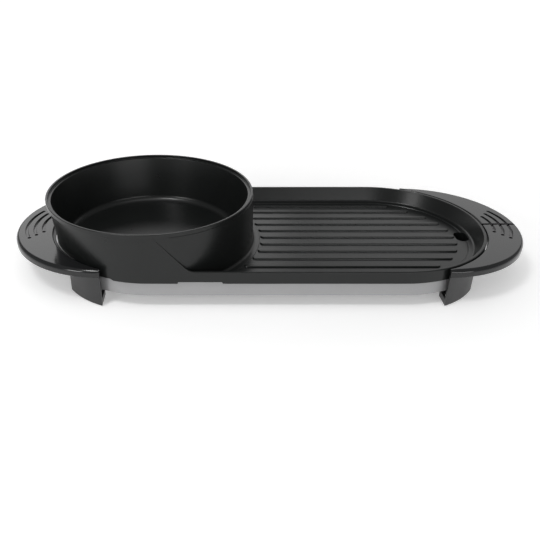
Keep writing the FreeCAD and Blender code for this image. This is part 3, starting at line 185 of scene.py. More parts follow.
band_low, band_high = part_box("base_band")
plate_low, plate_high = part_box("cooking_plate")
CENTRE_Y = (band_low.y + band_high.y) / 2
BAND_R = (band_high.y - band_low.y) / 2
LEFT_X = band_low.x + BAND_R
RIGHT_X = band_high.x - BAND_R


def rounded(corners, radii, steps=6):
    """A profile of (radius, height) points whose corners are arcs. An arc of radius q in a corner that
    turns by angle w starts q tan(w / 2) before the corner and ends as far after it."""
    corners = np.array(corners, dtype=float)
    points = [corners[:1]]
    for before, corner, after, q in zip(corners, corners[1:], corners[2:], radii):
        if q == 0:
            points.append(corner[None])
            continue
        towards = (corner - before) / np.linalg.norm(corner - before)
        onwards = (after - corner) / np.linalg.norm(after - corner)
        turn = math.acos(np.clip(towards @ onwards, -1, 1))
        start = corner - towards * q * math.tan(turn / 2)
        inward = (onwards - towards) / np.linalg.norm(onwards - towards)
        centre = corner + inward * q / math.cos(turn / 2)
        spoke = start - centre
        side = towards * q
        w = np.linspace(0, turn, steps + 1)[:, None]
        points.append(centre + spoke * np.cos(w) + side * np.sin(w))
    points.append(corners[-1:])
    return np.concatenate(points)


def between(start, end, count):
    """So many even values strictly between start and end."""
    return np.linspace(start, end, count + 2)[1:-1]


def oval_stations(left, right, side_x, arc_steps=72):
    """Centres and directions round an oval: the right end's arc, the far side, the left end's arc, the
    near side. A point at distance r from the oval's spine is centre + r (cos a, sin a)."""
    half = np.linspace(-math.pi / 2, math.pi / 2, arc_steps + 1)
    inner = np.sort(side_x)
    centre = [np.full(half.size, right), inner[::-1], np.full(half.size, left), inner]
    angle = [half, np.full(inner.size, math.pi / 2), half + math.pi, np.full(inner.size, 1.5 * math.pi)]
    return np.concatenate(centre), np.concatenate(angle)


def carried(centre_x, angle, r, z, centre_y=CENTRE_Y):
    """Points of a profile carried round an oval: x = centre + r cos a, y = centre line + r sin a."""
    r = np.broadcast_to(r, np.broadcast_shapes(r.shape, z.shape, (angle.size, 1)))
    z = np.broadcast_to(z, r.shape)
    x = centre_x[:, None] + r * np.cos(angle)[:, None]
    y = centre_y + r * np.sin(angle)[:, None]
    return np.stack([x, y, z], axis=-1)


def cleaned(mesh):
    """Merges points that coincide, drops faces with no area and turns the rest outwards."""
    work = bmesh.new()
    work.from_mesh(mesh)
    bmesh.ops.remove_doubles(work, verts=work.verts, dist=SAME_POINT)
    bmesh.ops.dissolve_degenerate(work, edges=work.edges, dist=SAME_POINT)
    bmesh.ops.recalc_face_normals(work, faces=work.faces)
    work.to_mesh(mesh)
    work.free()
    return mesh


def closed_mesh(name, points):
    """Closed mesh over a grid of points (copies, rows, columns, 3) whose rows close into a loop. Cells
    that shrink to a line are merged away, and all faces are turned outwards."""
    points = points.reshape(-1, *points.shape[-3:])
    copies, rows, columns = points.shape[:3]
    index = np.arange(copies * rows * columns).reshape(copies, rows, columns)
    across = np.roll(index, -1, axis=1)
    corners = [index[..., :-1], across[..., :-1], across[..., 1:], index[..., 1:]]
    faces = np.stack(corners, axis=-1).reshape(-1, 4)
    mesh = bpy.data.meshes.new(name)
    mesh.vertices.add(points.size // 3)
    mesh.vertices.foreach_set("co", points.ravel().astype(np.float32))
    mesh.loops.add(faces.size)
    mesh.loops.foreach_set("vertex_index", faces.ravel().astype(np.int32))
    mesh.polygons.add(len(faces))
    mesh.polygons.foreach_set("loop_start", np.arange(0, faces.size, 4, dtype=np.int32))
    mesh.update(calc_edges=True)
    return cleaned(mesh)


def combined(mesh, other, operation):
    """A closed mesh joined with, or cut by, another one."""
    piece = bpy.data.objects.new("piece", mesh)
    tool = bpy.data.objects.new("tool", other)
    bpy.context.scene.collection.objects.link(piece)
    bpy.context.scene.collection.objects.link(tool)
    boolean = piece.modifiers.new("boolean", "BOOLEAN")
    boolean.operation = operation
    boolean.solver = "EXACT"
    boolean.object = tool
    graph = bpy.context.evaluated_depsgraph_get()
    result = bpy.data.meshes.new_from_object(piece.evaluated_get(graph), depsgraph=graph)
    bpy.data.objects.remove(piece)
    bpy.data.objects.remove(tool)
    return cleaned(result)


def box_mesh(low, high):
    """Box between two corners, as a square carried from its floor to its roof."""
    xs = np.array([low[0], high[0], high[0], low[0]])
    ys = np.array([low[1], low[1], high[1], high[1]])
    zs = np.array([low[2], low[2], high[2], high[2]])
    middle_x = np.full(4, (low[0] + high[0]) / 2)
    middle_y = np.full(4, (low[1] + high[1]) / 2)
    x = np.stack([middle_x, xs, xs, middle_x], axis=1)
    y = np.stack([middle_y, ys, ys, middle_y], axis=1)
    return closed_mesh("box", np.stack([x, y, np.tile(zs, (4, 1))], axis=-1))


def place_piece(mesh, name, material, body, slot, *nodes, crease=35, bevel=0.0):
    """Puts a finished mesh in the scene: smooth but for creases sharper than so many degrees, which are
    rounded to a bevel if one is given. It rides on a body and stands for CAD nodes."""
    mesh.name = name
    mesh.materials.clear()
    mesh.materials.append(material)
    mesh.polygons.foreach_set("use_smooth", np.ones(len(mesh.polygons), dtype=bool))
    mesh.set_sharp_from_angle(angle=math.radians(crease))
    piece = bpy.data.objects.new(name, mesh)
    bpy.context.scene.collection.objects.link(piece)
    if bevel:
        edges = piece.modifiers.new("edges", "BEVEL")
        edges.width = bevel
        edges.segments = BEVEL_STEPS
        edges.limit_method = "ANGLE"
        edges.angle_limit = math.radians(crease)
    weighted = piece.modifiers.new("weighted", "WEIGHTED_NORMAL")
    weighted.keep_sharp = True
    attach(piece, body)
    if nodes:
        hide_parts(*nodes)
    return piece


f = finish("silver_paint")
flake = f.add("ShaderNodeTexVoronoi", {}, {"Vector": f.place(), "Scale": 1 / FLAKE}, output="Color")
tone = f.add("ShaderNodeRGBToBW", {}, {"Color": flake})
cloud = f.noise(size=40 * MM, detail=3)
silver = f.blend(tone * FLAKE_SHARE + cloud * CLOUD_SHARE, SILVER_DARK, SILVER_LIGHT)
relief = f.bump(f.noise(size=0.8 * MM), depth=0.03 * MM, strength=0.4)
silver_paint = f.coat(silver, cloud * SILVER_UNEVEN + SILVER_ROUGHNESS, relief, metallic=0.25)

band_in_r = BAND_R - BAND_T
band_mid_r = BAND_R - BAND_T / 2
band_profile = rounded(
    [
        (band_mid_r, band_low.z), (BAND_R, band_low.z), (BAND_R, band_high.z), (band_in_r, band_high.z),
        (band_in_r, band_low.z), (band_mid_r, band_low.z),
    ],
    [BAND_EDGE_R] * 4,
)
band_x, band_angle = oval_stations(LEFT_X, RIGHT_X, between(LEFT_X, RIGHT_X, count=20))
band = closed_mesh("base_band", carried(band_x, band_angle, *band_profile.T[:, None, :]))
hole_z = band_low.z + WIRE_HOLE_LIFT
hole_low = (-WIRE_HOLE_W / 2, CENTRE_Y + band_in_r - PAST, hole_z)
hole_high = (WIRE_HOLE_W / 2, CENTRE_Y + BAND_R + PAST, hole_z + WIRE_HOLE_H)
band = combined(band, box_mesh(hole_low, hole_high), "DIFFERENCE")
place_piece(band, "silver_band", silver_paint, "root", "silver_paint", "base_band")


# Reflectors: two bright sheets of rolled metal, dished and laid on the pan under the elements. They
# throw the elements' heat up at the plate.
REFLECTOR_DARK = (0.62, 0.62, 0.63)
REFLECTOR_LIGHT = (0.78, 0.78, 0.79)
STREAK_SHARE = 0.6
STREAK_UNEVEN = 0.12
CLOUD_UNEVEN = 0.06


def rolled_metal(name, dark, light, roughness, grain):
    """Bare sheet or wire with streaks along the axis whose grain is small."""
    f = finish(name)
    streak = f.noise(size=0.5 * MM, detail=4, roughness=0.7, place=f.place(*grain))
    cloud = f.noise(size=20 * MM, detail=3)
    colour = f.blend(streak * STREAK_SHARE + cloud * (1 - STREAK_SHARE), dark, light)
    uneven = streak * STREAK_UNEVEN + cloud * CLOUD_UNEVEN
    return f.coat(colour, uneven + roughness, f.bump(streak, depth=0.02 * MM), metallic=1.0)


along_x = (0.05, 1.0, 1.0)
bright_sheet = rolled_metal("bright_sheet", REFLECTOR_DARK, REFLECTOR_LIGHT, roughness=0.16, grain=along_x)
dress(bright_sheet, "pot_reflector", "grill_reflector")


# Heating elements: sheathed steel tubes bent into a ring under the pot and a loop under the grill. Use
# has tempered them straw and blue.
ELEMENT_GREY = (0.17, 0.15, 0.13)
ELEMENT_STRAW = (0.25, 0.19, 0.13)
ELEMENT_BLUE = (0.12, 0.13, 0.17)
ELEMENT_ROUGHNESS = 0.36
SCALE_UNEVEN = 0.2

f = finish("element_steel")
heat = f.noise(size=24 * MM, detail=3, roughness=0.6)
scale = f.noise(size=1.5 * MM, detail=4, roughness=0.7)
straw = f.blend(f.step(heat, low=0.40, high=0.60), ELEMENT_GREY, ELEMENT_STRAW)
tempered = f.blend(f.step(heat, low=0.55, high=0.68), straw, ELEMENT_BLUE)
crust = f.bump(scale, depth=0.05 * MM)
element_steel = f.coat(tempered, scale * SCALE_UNEVEN + ELEMENT_ROUGHNESS, crust, metallic=0.85)
dress(element_steel, "pot_heating_element", "grill_heating_element")


# Zinc-plated small parts: the saddles that hold the tubes, the button cut-outs, the spindles, the rails
# of the drip tray and every screw.
ZINC_DARK = (0.50, 0.51, 0.53)
ZINC_LIGHT = (0.68, 0.69, 0.70)

zinc_steel = rolled_metal("zinc_steel", ZINC_DARK, ZINC_LIGHT, roughness=0.28, grain=(1.0, 1.0, 0.3))
dress(
    zinc_steel, "element_saddles", "thermal_cutouts", "pot_spindle", "grill_spindle", "drip_rail_front",
    "drip_rail_rear", "handle_screws", "leg_screws", "panel_screws", "housing_screws",
)


# Wiring: leads in woven glass sleeving that run from the elements to the thermostats, and a thermoset
# terminal block in the control box that joins them to the inlet.
SLEEVE_DARK = (0.30, 0.26, 0.20)
SLEEVE_LIGHT = (0.58, 0.54, 0.45)
IVORY_DARK = (0.60, 0.56, 0.45)
IVORY_LIGHT = (0.70, 0.66, 0.56)
SLEEVE_ROUGHNESS = 0.7
SLEEVE_UNEVEN = 0.1
THREAD_SCALE = 260.0
THREAD_WAVER = 0.6
FLOW_UNEVEN = 0.12

f = finish("wire_sleeve")
threads = {"Vector": f.place(), "Scale": THREAD_SCALE, "Distortion": THREAD_WAVER}
warp = f.add("ShaderNodeTexWave", {"bands_direction": "DIAGONAL"}, threads, output="Fac")
weft = f.add("ShaderNodeTexWave", {"bands_direction": "X"}, threads, output="Fac")
weave = warp * weft
cloth = f.bump(weave, depth=0.15 * MM)
sleeve = f.coat(f.blend(weave, SLEEVE_DARK, SLEEVE_LIGHT), weave * SLEEVE_UNEVEN + SLEEVE_ROUGHNESS, cloth)
dress(sleeve, "element_leads", "supply_leads")


def moulding(name, dark, light, roughness):
    """Plain thermoset or nylon with faint flow marks."""
    f = finish(name)
    flow = f.noise(size=9 * MM, detail=4, roughness=0.6, place=f.place(z=0.35))
    relief = f.bump(f.noise(size=0.7 * MM), depth=0.05 * MM, strength=0.4)
    return f.coat(f.blend(flow, dark, light), flow * FLOW_UNEVEN + roughness, relief)


ivory = moulding("block_plastic", IVORY_DARK, IVORY_LIGHT, roughness=0.42)
dress(ivory, "terminal_block")


# Legs: four hollow mouldings in satin black plastic. Each hugs the band, carries an arm that runs under a
# handle, and is screwed to the pan.
LEG_TIP_U = 48.3 * MM
LEG_ARC_R = 103.0 * MM
LEG_ARC_U = 3.9 * MM
LEG_ARC_V = 25.1 * MM
LEG_WALL = 3.0 * MM
LEG_EDGE_R = 0.5 * MM
MOUTH_Z = 8.0 * MM
MOUTH_TOP_Z = 36.0 * MM
MOUTH_DEPTH = 11.0 * MM
MOUTH_W = 7.0 * MM
MOUTH_INNER_U = LEG_TIP_U + 5.0 * MM
MOUTH_INNER_V = 91.0 * MM
SATIN_DARK = (0.018, 0.0185, 0.019)
SATIN_LIGHT = (0.024, 0.0245, 0.025)
SATIN_ROUGHNESS = 0.30
SATIN_UNEVEN = 0.10
FLAT_DEGREES = 0.5

SKIRT_R = plate_high.x - RIGHT_X
POT_RIM_R = (plate_high.y - plate_low.y) / 2
POT_X = plate_low.x + POT_RIM_R
GRILL_X = RIGHT_X

f = finish("satin_black")
cloud = f.noise(size=30 * MM, detail=3)
grain = f.noise(size=0.6 * MM, detail=3, roughness=0.6)
satin = f.blend(cloud, SATIN_DARK, SATIN_LIGHT)
satin_black = f.coat(satin, grain * SATIN_UNEVEN + SATIN_ROUGHNESS, f.bump(grain, depth=0.06 * MM))


def prism(outline, low, high):
    """Upright prism over a plan (points, 2) whose corners can all be seen from its middle."""
    middle = np.tile(outline.mean(axis=0), (len(outline), 1))
    rings = np.stack([middle, outline, outline, middle])
    z = np.broadcast_to(np.array([low, low, high, high])[:, None, None], (4, len(outline), 1))
    return closed_mesh("prism", np.swapaxes(np.concatenate([rings, z], axis=2), 0, 1))


def leg_mouth(end_x, outward, side):
    """The open end of a leg, between its curved wall of thickness LEG_WALL and the band: u along the
    appliance from the end's centre, and v across it. The wall's inside lies at
    v = arc v + sqrt(r^2 - (u - arc u)^2)."""
    u = np.linspace(LEG_TIP_U - PAST, LEG_TIP_U + MOUTH_DEPTH, num=8)
    v = LEG_ARC_V + np.sqrt((LEG_ARC_R - LEG_WALL) ** 2 - (u - LEG_ARC_U) ** 2)
    inner = np.array([(u[-1], v[-1] - MOUTH_W), (MOUTH_INNER_U, MOUTH_INNER_V), (u[0], MOUTH_INNER_V)])
    plan = np.concatenate([np.stack([u, v], axis=1), inner])
    outline = np.array([end_x, CENTRE_Y]) + plan * np.array([outward, side])
    return prism(outline, MOUTH_Z, MOUTH_TOP_Z)


def flattened(mesh):
    """Joins the triangles of each flat face into one face."""
    work = bmesh.new()
    work.from_mesh(mesh)
    flat = math.radians(FLAT_DEGREES)
    bmesh.ops.dissolve_limit(work, angle_limit=flat, verts=work.verts, edges=work.edges)
    work.to_mesh(mesh)
    work.free()
    return mesh


for end, leg_end_x, outward in (("left", POT_X, -1), ("right", GRILL_X, 1)):
    for place, side in (("front", -1), ("rear", 1)):
        node = "leg_%s_%s" % (end, place)
        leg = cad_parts[node].data.copy()
        leg = flattened(combined(leg, leg_mouth(leg_end_x, outward, side), "DIFFERENCE"))
        place_piece(leg, "hollow_" + node, satin_black, "root", "satin_black", node, bevel=LEG_EDGE_R)


# Foot pads: round rubber pads pressed into the undersides of the legs, so that the appliance doesn't
# slide. A shallow ring is moulded in each sole.
PAD_EDGE_R = 0.5 * MM
PAD_RING_R = 4.6 * MM
PAD_RING_W = 0.8 * MM
PAD_RING_DEPTH = 0.5 * MM
PAD_RING_EDGE_R = 0.1 * MM
RUBBER_DARK = (0.016, 0.016, 0.016)
RUBBER_LIGHT = (0.034, 0.034, 0.033)
RUBBER_ROUGHNESS = 0.72
RUBBER_UNEVEN = 0.15

f = finish("rubber_black")
bloom = f.noise(size=3 * MM, detail=4, roughness=0.6)
rubber_tint = f.blend(bloom, RUBBER_DARK, RUBBER_LIGHT)
rubber = f.coat(rubber_tint, bloom * RUBBER_UNEVEN + RUBBER_ROUGHNESS, f.bump(bloom, depth=0.1 * MM))


def turned(profile, x, y, steps=48):
    """Points of a profile turned about an upright line: x + r cos a, y + r sin a."""
    angle = np.arange(steps) * 2 * math.pi / steps
    return carried(np.full(steps, x), angle, profile[None, :, 0], profile[None, :, 1], y)


for corner in ("left_front", "left_rear", "right_front", "right_rear"):
    low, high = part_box("foot_pad_" + corner)
    pad_r = (high.x - low.x) / 2
    ring_in_r = PAD_RING_R - PAD_RING_W
    ring_z = low.z + PAD_RING_DEPTH
    pad_profile = rounded(
        [
            (0, low.z), (ring_in_r, low.z), (ring_in_r, ring_z), (PAD_RING_R, ring_z),
            (PAD_RING_R, low.z), (pad_r, low.z), (pad_r, high.z), (0, high.z),
        ],
        [PAD_RING_EDGE_R] * 4 + [PAD_EDGE_R] * 2,
        steps=3,
    )
    pad = closed_mesh("pad", turned(pad_profile, (low.x + high.x) / 2, (low.y + high.y) / 2))
    place_piece(pad, "rubber_pad_" + corner, rubber, "root", "rubber_black", "foot_pad_" + corner)


# Control box: a satin black housing on the hidden long side, closed by a panel. It holds two
# thermostats, two red lamps and, in its end, an inlet for a detachable lead.
BOX_EDGE_R = 0.6 * MM
BRASS_DARK = (0.55, 0.40, 0.18)
BRASS_LIGHT = (0.72, 0.55, 0.27)
BAKELITE_DARK = (0.085, 0.052, 0.034)
BAKELITE_LIGHT = (0.125, 0.080, 0.055)
LENS_DARK = (0.36, 0.018, 0.012)
LENS_LIGHT = (0.55, 0.035, 0.02)
LENS_ROUGHNESS = 0.08
LENS_UNEVEN = 0.08

for node, name in (("control_housing", "box_moulding"), ("control_panel", "front_plate")):
    shell = flattened(cleaned(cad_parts[node].data.copy()))
    place_piece(shell, name, satin_black, "root", "satin_black", node, bevel=BOX_EDGE_R)
dress(satin_black, "power_inlet")

brass = rolled_metal("brass_contact", BRASS_DARK, BRASS_LIGHT, roughness=0.24, grain=(1.0, 0.4, 1.0))
dress(brass, "inlet_pins", "bush_nuts")
bakelite = moulding("thermostat_body", BAKELITE_DARK, BAKELITE_LIGHT, roughness=0.40)
dress(bakelite, "pot_thermostat", "grill_thermostat")

f = finish("lamp_lens")
depth = f.noise(size=1.4 * MM)
lens_red = f.blend(depth, LENS_DARK, LENS_LIGHT)
lens = f.coat(lens_red, depth * LENS_UNEVEN + LENS_ROUGHNESS, f.bump(depth, depth=0.05 * MM))
dress(lens, "pot_pilot_lamp", "grill_pilot_lamp")


# Knobs: polished black plastic, pressed on the thermostats' spindles. Each has a fluted edge above a
# plain skirt, a bar to grip, and an ivory line let into the bar that shows where it points.
KNOB_L = 12.0 * MM
KNOB_WALL = 3.0 * MM
KNOB_HOLLOW = 4.0 * MM
KNOB_SKIRT_H = 2.4 * MM
KNOB_NECK_IN = 0.9 * MM
KNOB_NECK_H = 0.6 * MM
KNOB_CAP_IN = 1.4 * MM
KNOB_CAP_H = 2.5 * MM
KNOB_CAP_LEAN = 0.1 * MM
KNOB_ROUND = 1.2 * MM
KNOB_ROOF_R = 0.5 * MM
KNOB_FOOT_R = 0.3 * MM
KNOB_EDGE_R = 0.2 * MM
FLUTES = 20
FLUTE_STEPS = 8
FLUTE_DEPTH = 0.9 * MM
FLUTE_FOOT_GAP = 0.5 * MM
FLUTE_TOP_GAP = 0.3 * MM
FLUTE_REACH = 2.0 * MM
GRIP_W = 6.0 * MM
GRIP_HALF_L = 10.4 * MM
GRIP_ROOT = 2.0 * MM
GRIP_LEAN = 0.4 * MM
GRIP_ROUND = 0.8 * MM
LINE_W = 0.9 * MM
LINE_L = 6.5 * MM
LINE_DEPTH = 0.5 * MM
LINE_END_GAP = 1.0 * MM
LINE_PROUD = 0.1 * MM
GLOSS_DARK = (0.010, 0.0105, 0.011)
GLOSS_LIGHT = (0.014, 0.0145, 0.015)
GLOSS_ROUGHNESS = 0.09
DUST_UNEVEN = 0.06
SCRATCH_UNEVEN = 0.08

f = finish("gloss_black")
wave = f.noise(size=45 * MM)
dust = f.noise(size=2.5 * MM, detail=4, roughness=0.7)
hair = f.noise(size=1.2 * MM, place=f.place(y=0.08))
scratch = f.step(hair, low=0.70, high=0.76)
relief = f.bump(scratch, depth=0.004 * MM, strength=0.3)
relief = f.bump(wave, depth=0.12 * MM, strength=0.35, over=relief)
uneven = dust * DUST_UNEVEN + scratch * SCRATCH_UNEVEN
gloss_black = f.coat(f.blend(wave, GLOSS_DARK, GLOSS_LIGHT), uneven + GLOSS_ROUGHNESS, relief)


def knob_body(r):
    """Profile turned about the spindle. Between skirt and cap its radius falls by
    FLUTE_DEPTH (1 - cos n a) / 2."""
    bore_r = r - KNOB_WALL
    cap_r = r - KNOB_CAP_IN
    profile = rounded(
        [
            (0, KNOB_HOLLOW), (bore_r, KNOB_HOLLOW), (bore_r, 0), (r, 0), (r, KNOB_SKIRT_H),
            (r - KNOB_NECK_IN, KNOB_SKIRT_H + KNOB_NECK_H), (cap_r + KNOB_CAP_LEAN, KNOB_L - KNOB_CAP_H),
            (cap_r, KNOB_L), (0, KNOB_L),
        ],
        [KNOB_ROOF_R, KNOB_EDGE_R, KNOB_FOOT_R, KNOB_FOOT_R, KNOB_EDGE_R, 0, KNOB_ROUND],
    )
    steps = FLUTES * FLUTE_STEPS
    points = turned(profile, 0, 0, steps)
    angle = np.arange(steps) * 2 * math.pi / steps
    side_r, height = profile.T
    fluted = (height > KNOB_SKIRT_H + FLUTE_FOOT_GAP) & (height < KNOB_L - FLUTE_TOP_GAP)
    fluted &= side_r > r - FLUTE_REACH
    fall = FLUTE_DEPTH * np.outer(1 - np.cos(FLUTES * angle), fluted) / 2
    points[..., :2] *= (1 - fall / r)[..., None]
    return points


for node, name in (("pot_knob", "pot_fluted_knob"), ("grill_knob", "grill_fluted_knob")):
    low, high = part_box(node)
    hub = np.array([(low.x + high.x) / 2, low.y, (low.z + high.z) / 2])
    bar_top = high.y - low.y - LINE_PROUD
    knob = closed_mesh("knob", hub + knob_body((high.x - low.x) / 2)[..., [0, 2, 1]])
    bar_root = KNOB_L - GRIP_ROOT
    half_w = GRIP_W / 2
    bar_corners = [(0, bar_root), (half_w, bar_root), (half_w - GRIP_LEAN, bar_top), (0, bar_top)]
    bar_profile = rounded(bar_corners, [0, GRIP_ROUND])
    run = GRIP_HALF_L - half_w
    bar_x, bar_angle = oval_stations(-run, run, between(-run, run, count=4), arc_steps=16)
    bar = carried(bar_x, bar_angle, *bar_profile.T[:, None, :], centre_y=0.0)
    knob = combined(knob, closed_mesh("bar", hub + bar[..., [1, 2, 0]]), "UNION")
    place_piece(knob, name, gloss_black, node, "gloss_black", node)
    line_end = GRIP_HALF_L - LINE_END_GAP
    line_low = hub + (-LINE_W / 2, bar_top - LINE_DEPTH, line_end - LINE_L)
    line_high = hub + (LINE_W / 2, bar_top + LINE_PROUD, line_end)
    place_piece(box_mesh(line_low, line_high), name + "_line", ivory, node, "block_plastic")


# Drip tray: a shallow tray of plain steel that hangs on two rails under the drain slot. It slides out
# to be emptied.
TRAY_DARK = (0.42, 0.42, 0.43)
TRAY_LIGHT = (0.58, 0.58, 0.59)

tray_steel = rolled_metal("tray_steel", TRAY_DARK, TRAY_LIGHT, roughness=0.26, grain=(1.0, 0.04, 1.0))
dress(tray_steel, "drip_tray")


# Handles: glossy black crescents, screwed from below to the legs' arms. The left one is whole, the
# right one is two halves that meet in the middle. Three curved grooves are cut in each top.
HANDLE_T = 3.0 * MM
HANDLE_ROUND = 4.8 * MM
HANDLE_EDGE_R = 1.2 * MM
HANDLE_FIT = 1.5 * MM
HANDLE_U = 48.0 * MM
HANDLE_FOOT_H = 0.4 * MM
HANDLE_ROOM_SHIFT = 0.6 * MM
LEFT_ARC_SHIFT = 2.0 * MM
# Where a crescent is narrow, its rounding and its edge radius are at most these shares of its width
ROUND_SHARE = 0.62
EDGE_SHARE = 0.18
GROOVE_U = 78.0 * MM
GROOVE_W = 3.5 * MM
GROOVE_DEPTH = 2.2 * MM
GROOVE_LIP = 0.25 * MM
GROOVE_ROUND = 0.5 * MM
GROOVE_REACHES = (32.5 * MM, 22.8 * MM, 12.8 * MM)
GROOVE_HALF_L = (38.0 * MM, 30.0 * MM, 21.5 * MM)
GROOVE_STEPS = 49
GROOVE_END_STEPS = 7
DOT_R = 2.2 * MM
DOT_GAP = 4.5 * MM
DOT_DEPTH = 2.6 * MM
DOT_ROUND = 0.3 * MM
SEAM_W = 4.0 * MM
SEAM_DEPTH = 2.4 * MM

left_low, left_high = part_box("handle_left")
top_z = left_high.z
low_z = left_low.z
HANDLE_R = POT_X - HANDLE_U - left_low.x


def crescent(end_x, arc_x, outward, rows, inset=0.0, steps=96):
    """Crescent from rows (w, e, d, z, k, q). A row lies at share w of the way from the inner circle to
    the outer one, e edge radii out from the inner circle if w = 0, and d rounding radii in from the
    outer circle if w > 0. Its height is z + k edge radii + q rounding radii. Both radii shrink where
    the crescent is narrow. The front tip is closed by carrying its row to its middle. The rear tip has
    no end face."""
    w, e, d, z, k, q = rows.T[:, None, :]
    share = np.linspace(-1, 1, steps + 1)[:, None]
    inner_r = SKIRT_R + HANDLE_FIT
    outer_r = HANDLE_R - inset
    tip = LEG_TIP_U + inset
    inner_turn = share * math.acos((tip + outward * (end_x - arc_x)) / inner_r)
    outer_turn = share * math.acos((tip - HANDLE_U) / outer_r)
    inner_x = arc_x + outward * inner_r * np.cos(inner_turn)
    inner = np.concatenate([inner_x, inner_r * np.sin(inner_turn)], axis=1)
    outer_x = end_x + outward * (HANDLE_U + outer_r * np.cos(outer_turn))
    outer = np.concatenate([outer_x, outer_r * np.sin(outer_turn)], axis=1)
    width = np.linalg.norm(outer - inner, axis=1, keepdims=True)
    across = (outer - inner) / width
    round_r = np.minimum(HANDLE_ROUND, ROUND_SHARE * width)
    edge_r = np.minimum(HANDLE_EDGE_R, EDGE_SHARE * width)
    reach = w * (width - d * round_r) + e * edge_r
    x = inner[:, :1] + reach * across[:, :1]
    y = CENTRE_Y + inner[:, 1:] + reach * across[:, 1:]
    points = np.stack([x, y, z + k * edge_r + q * round_r], axis=-1)
    front_middle = np.broadcast_to(points[:1].mean(axis=1, keepdims=True), points[:1].shape)
    strip = np.concatenate([front_middle, points])
    return closed_mesh("crescent", np.swapaxes(strip, 0, 1))


def handle_section(top, low):
    """Rows round a handle's section: up the inner side, over its round edge, out along the top, round
    the outer shoulder, down the outside and back along the bottom."""
    t = np.linspace(0, math.pi / 2, num=13)
    zero = np.zeros(t.size)
    edge = np.stack([zero, 1 - np.cos(t), zero, zero + top, np.sin(t) - 1, zero], axis=1)
    shoulder = np.stack([zero + 1, zero, 1 - np.sin(t), zero + top, zero, np.cos(t) - 1], axis=1)
    flat = [(share, 0, 1, top, 0, 0) for share in (0.15, 0.35, 0.5, 0.65, 0.85)]
    under = [(1, 0, 0, low + HANDLE_FOOT_H, 0, 0), (1, 0, 0.1, low, 0, 0), (0.5, 0, 0, low, 0, 0)]
    return np.concatenate([[(0, 0, 0, low, 0, 0)], edge[::3], flat, shoulder, under])


def groove_mesh(end_x, outward, r, half_length):
    """Curved trough, a rounded slot section carried along an arc, with a round hole at its rear end and
    another a little beyond its front end."""
    front = math.asin((half_length - DOT_GAP) / r)
    rear = math.asin(half_length / r)
    turn = np.linspace(-front, rear, GROOVE_STEPS)
    centre = end_x + outward * GROOVE_U
    end_turn = between(-math.pi / 2, math.pi / 2, GROOVE_END_STEPS)
    half = GROOVE_W / 2
    bottom = top_z - GROOVE_DEPTH
    section = rounded(
        [
            (0, bottom), (half, bottom), (half, top_z - GROOVE_LIP), (half + GROOVE_LIP, top_z),
            (half + GROOVE_LIP, top_z + PAST), (0, top_z + PAST),
        ],
        [GROOVE_ROUND, 0, 0, 0],
        steps=4,
    )
    # Stations round the slot: along the outside, round the rear end, back along the inside, round the front
    ends = np.ones(GROOVE_END_STEPS)
    sides = np.ones(GROOVE_STEPS)
    spine = np.concatenate([turn, rear * ends, turn[::-1], -front * ends])
    lean = np.concatenate([0 * sides, end_turn + math.pi / 2, math.pi * sides, end_turn + 1.5 * math.pi])
    w = section[None, :, 0]
    along = w * np.sin(lean)[:, None]
    radial = r + w * np.cos(lean)[:, None]
    x = centre + outward * (radial * np.cos(spine)[:, None] - along * np.sin(spine)[:, None])
    y = CENTRE_Y + radial * np.sin(spine)[:, None] + along * np.cos(spine)[:, None]
    z = np.broadcast_to(section[None, :, 1], x.shape)
    trough = closed_mesh("groove", np.stack([x, y, z], axis=-1))
    dot_z = top_z - DOT_DEPTH
    bowl_corners = [(0, dot_z), (DOT_R, dot_z), (DOT_R, top_z + PAST), (0, top_z + PAST)]
    bowl = rounded(bowl_corners, [DOT_ROUND, 0], steps=4)
    dot_x = centre + outward * math.sqrt(r**2 - half_length**2)
    for side in (-1, 1):
        dot = closed_mesh("dot", turned(bowl, dot_x, CENTRE_Y + side * half_length, steps=24))
        trough = combined(trough, dot, "UNION")
    return trough


def make_handle(end_x, arc_x, outward):
    """Shell of a crescent, open below, with its grooves cut in."""
    shell = crescent(end_x, arc_x, outward, handle_section(top_z, low_z))
    room = crescent(end_x, arc_x, outward, handle_section(top_z - HANDLE_T, low_z - PAST), HANDLE_T)
    room.transform(Matrix.Translation((-outward * HANDLE_ROOM_SHIFT, 0, 0)))
    shell = combined(shell, room, "DIFFERENCE")
    for reach, half_length in zip(GROOVE_REACHES, GROOVE_HALF_L):
        groove = groove_mesh(end_x, outward, SKIRT_R + reach - GROOVE_U, half_length)
        shell = combined(shell, groove, "DIFFERENCE")
    return shell


left_handle = make_handle(POT_X, POT_X + LEFT_ARC_SHIFT, -1)
place_piece(left_handle, "left_handle", gloss_black, "root", "gloss_black", "handle_left")

far_x = GRILL_X + 2 * HANDLE_R
far_z = 2 * top_z
seam_x = GRILL_X + HANDLE_U + HANDLE_R - SEAM_DEPTH
seam_y0 = CENTRE_Y - SEAM_W / 2
seam_y1 = CENTRE_Y + SEAM_W / 2
seam_cutters = ((GRILL_X, top_z - SEAM_DEPTH), (seam_x, low_z - PAST))
for place, side in (("front", -1), ("rear", 1)):
    far_y = CENTRE_Y - side * 2 * HANDLE_R
    other_side = box_mesh((GRILL_X, min(CENTRE_Y, far_y), 0), (far_x, max(CENTRE_Y, far_y), far_z))
    half_handle = combined(make_handle(GRILL_X, RIGHT_X, 1), other_side, "DIFFERENCE")
    for cut_x, cut_z in seam_cutters:
        seam = box_mesh((cut_x, seam_y0, cut_z), (far_x, seam_y1, far_z))
        half_handle = combined(half_handle, seam, "DIFFERENCE")
    name = "right_%s_handle" % place
    place_piece(half_handle, name, gloss_black, "root", "gloss_black", "handle_right_" + place)


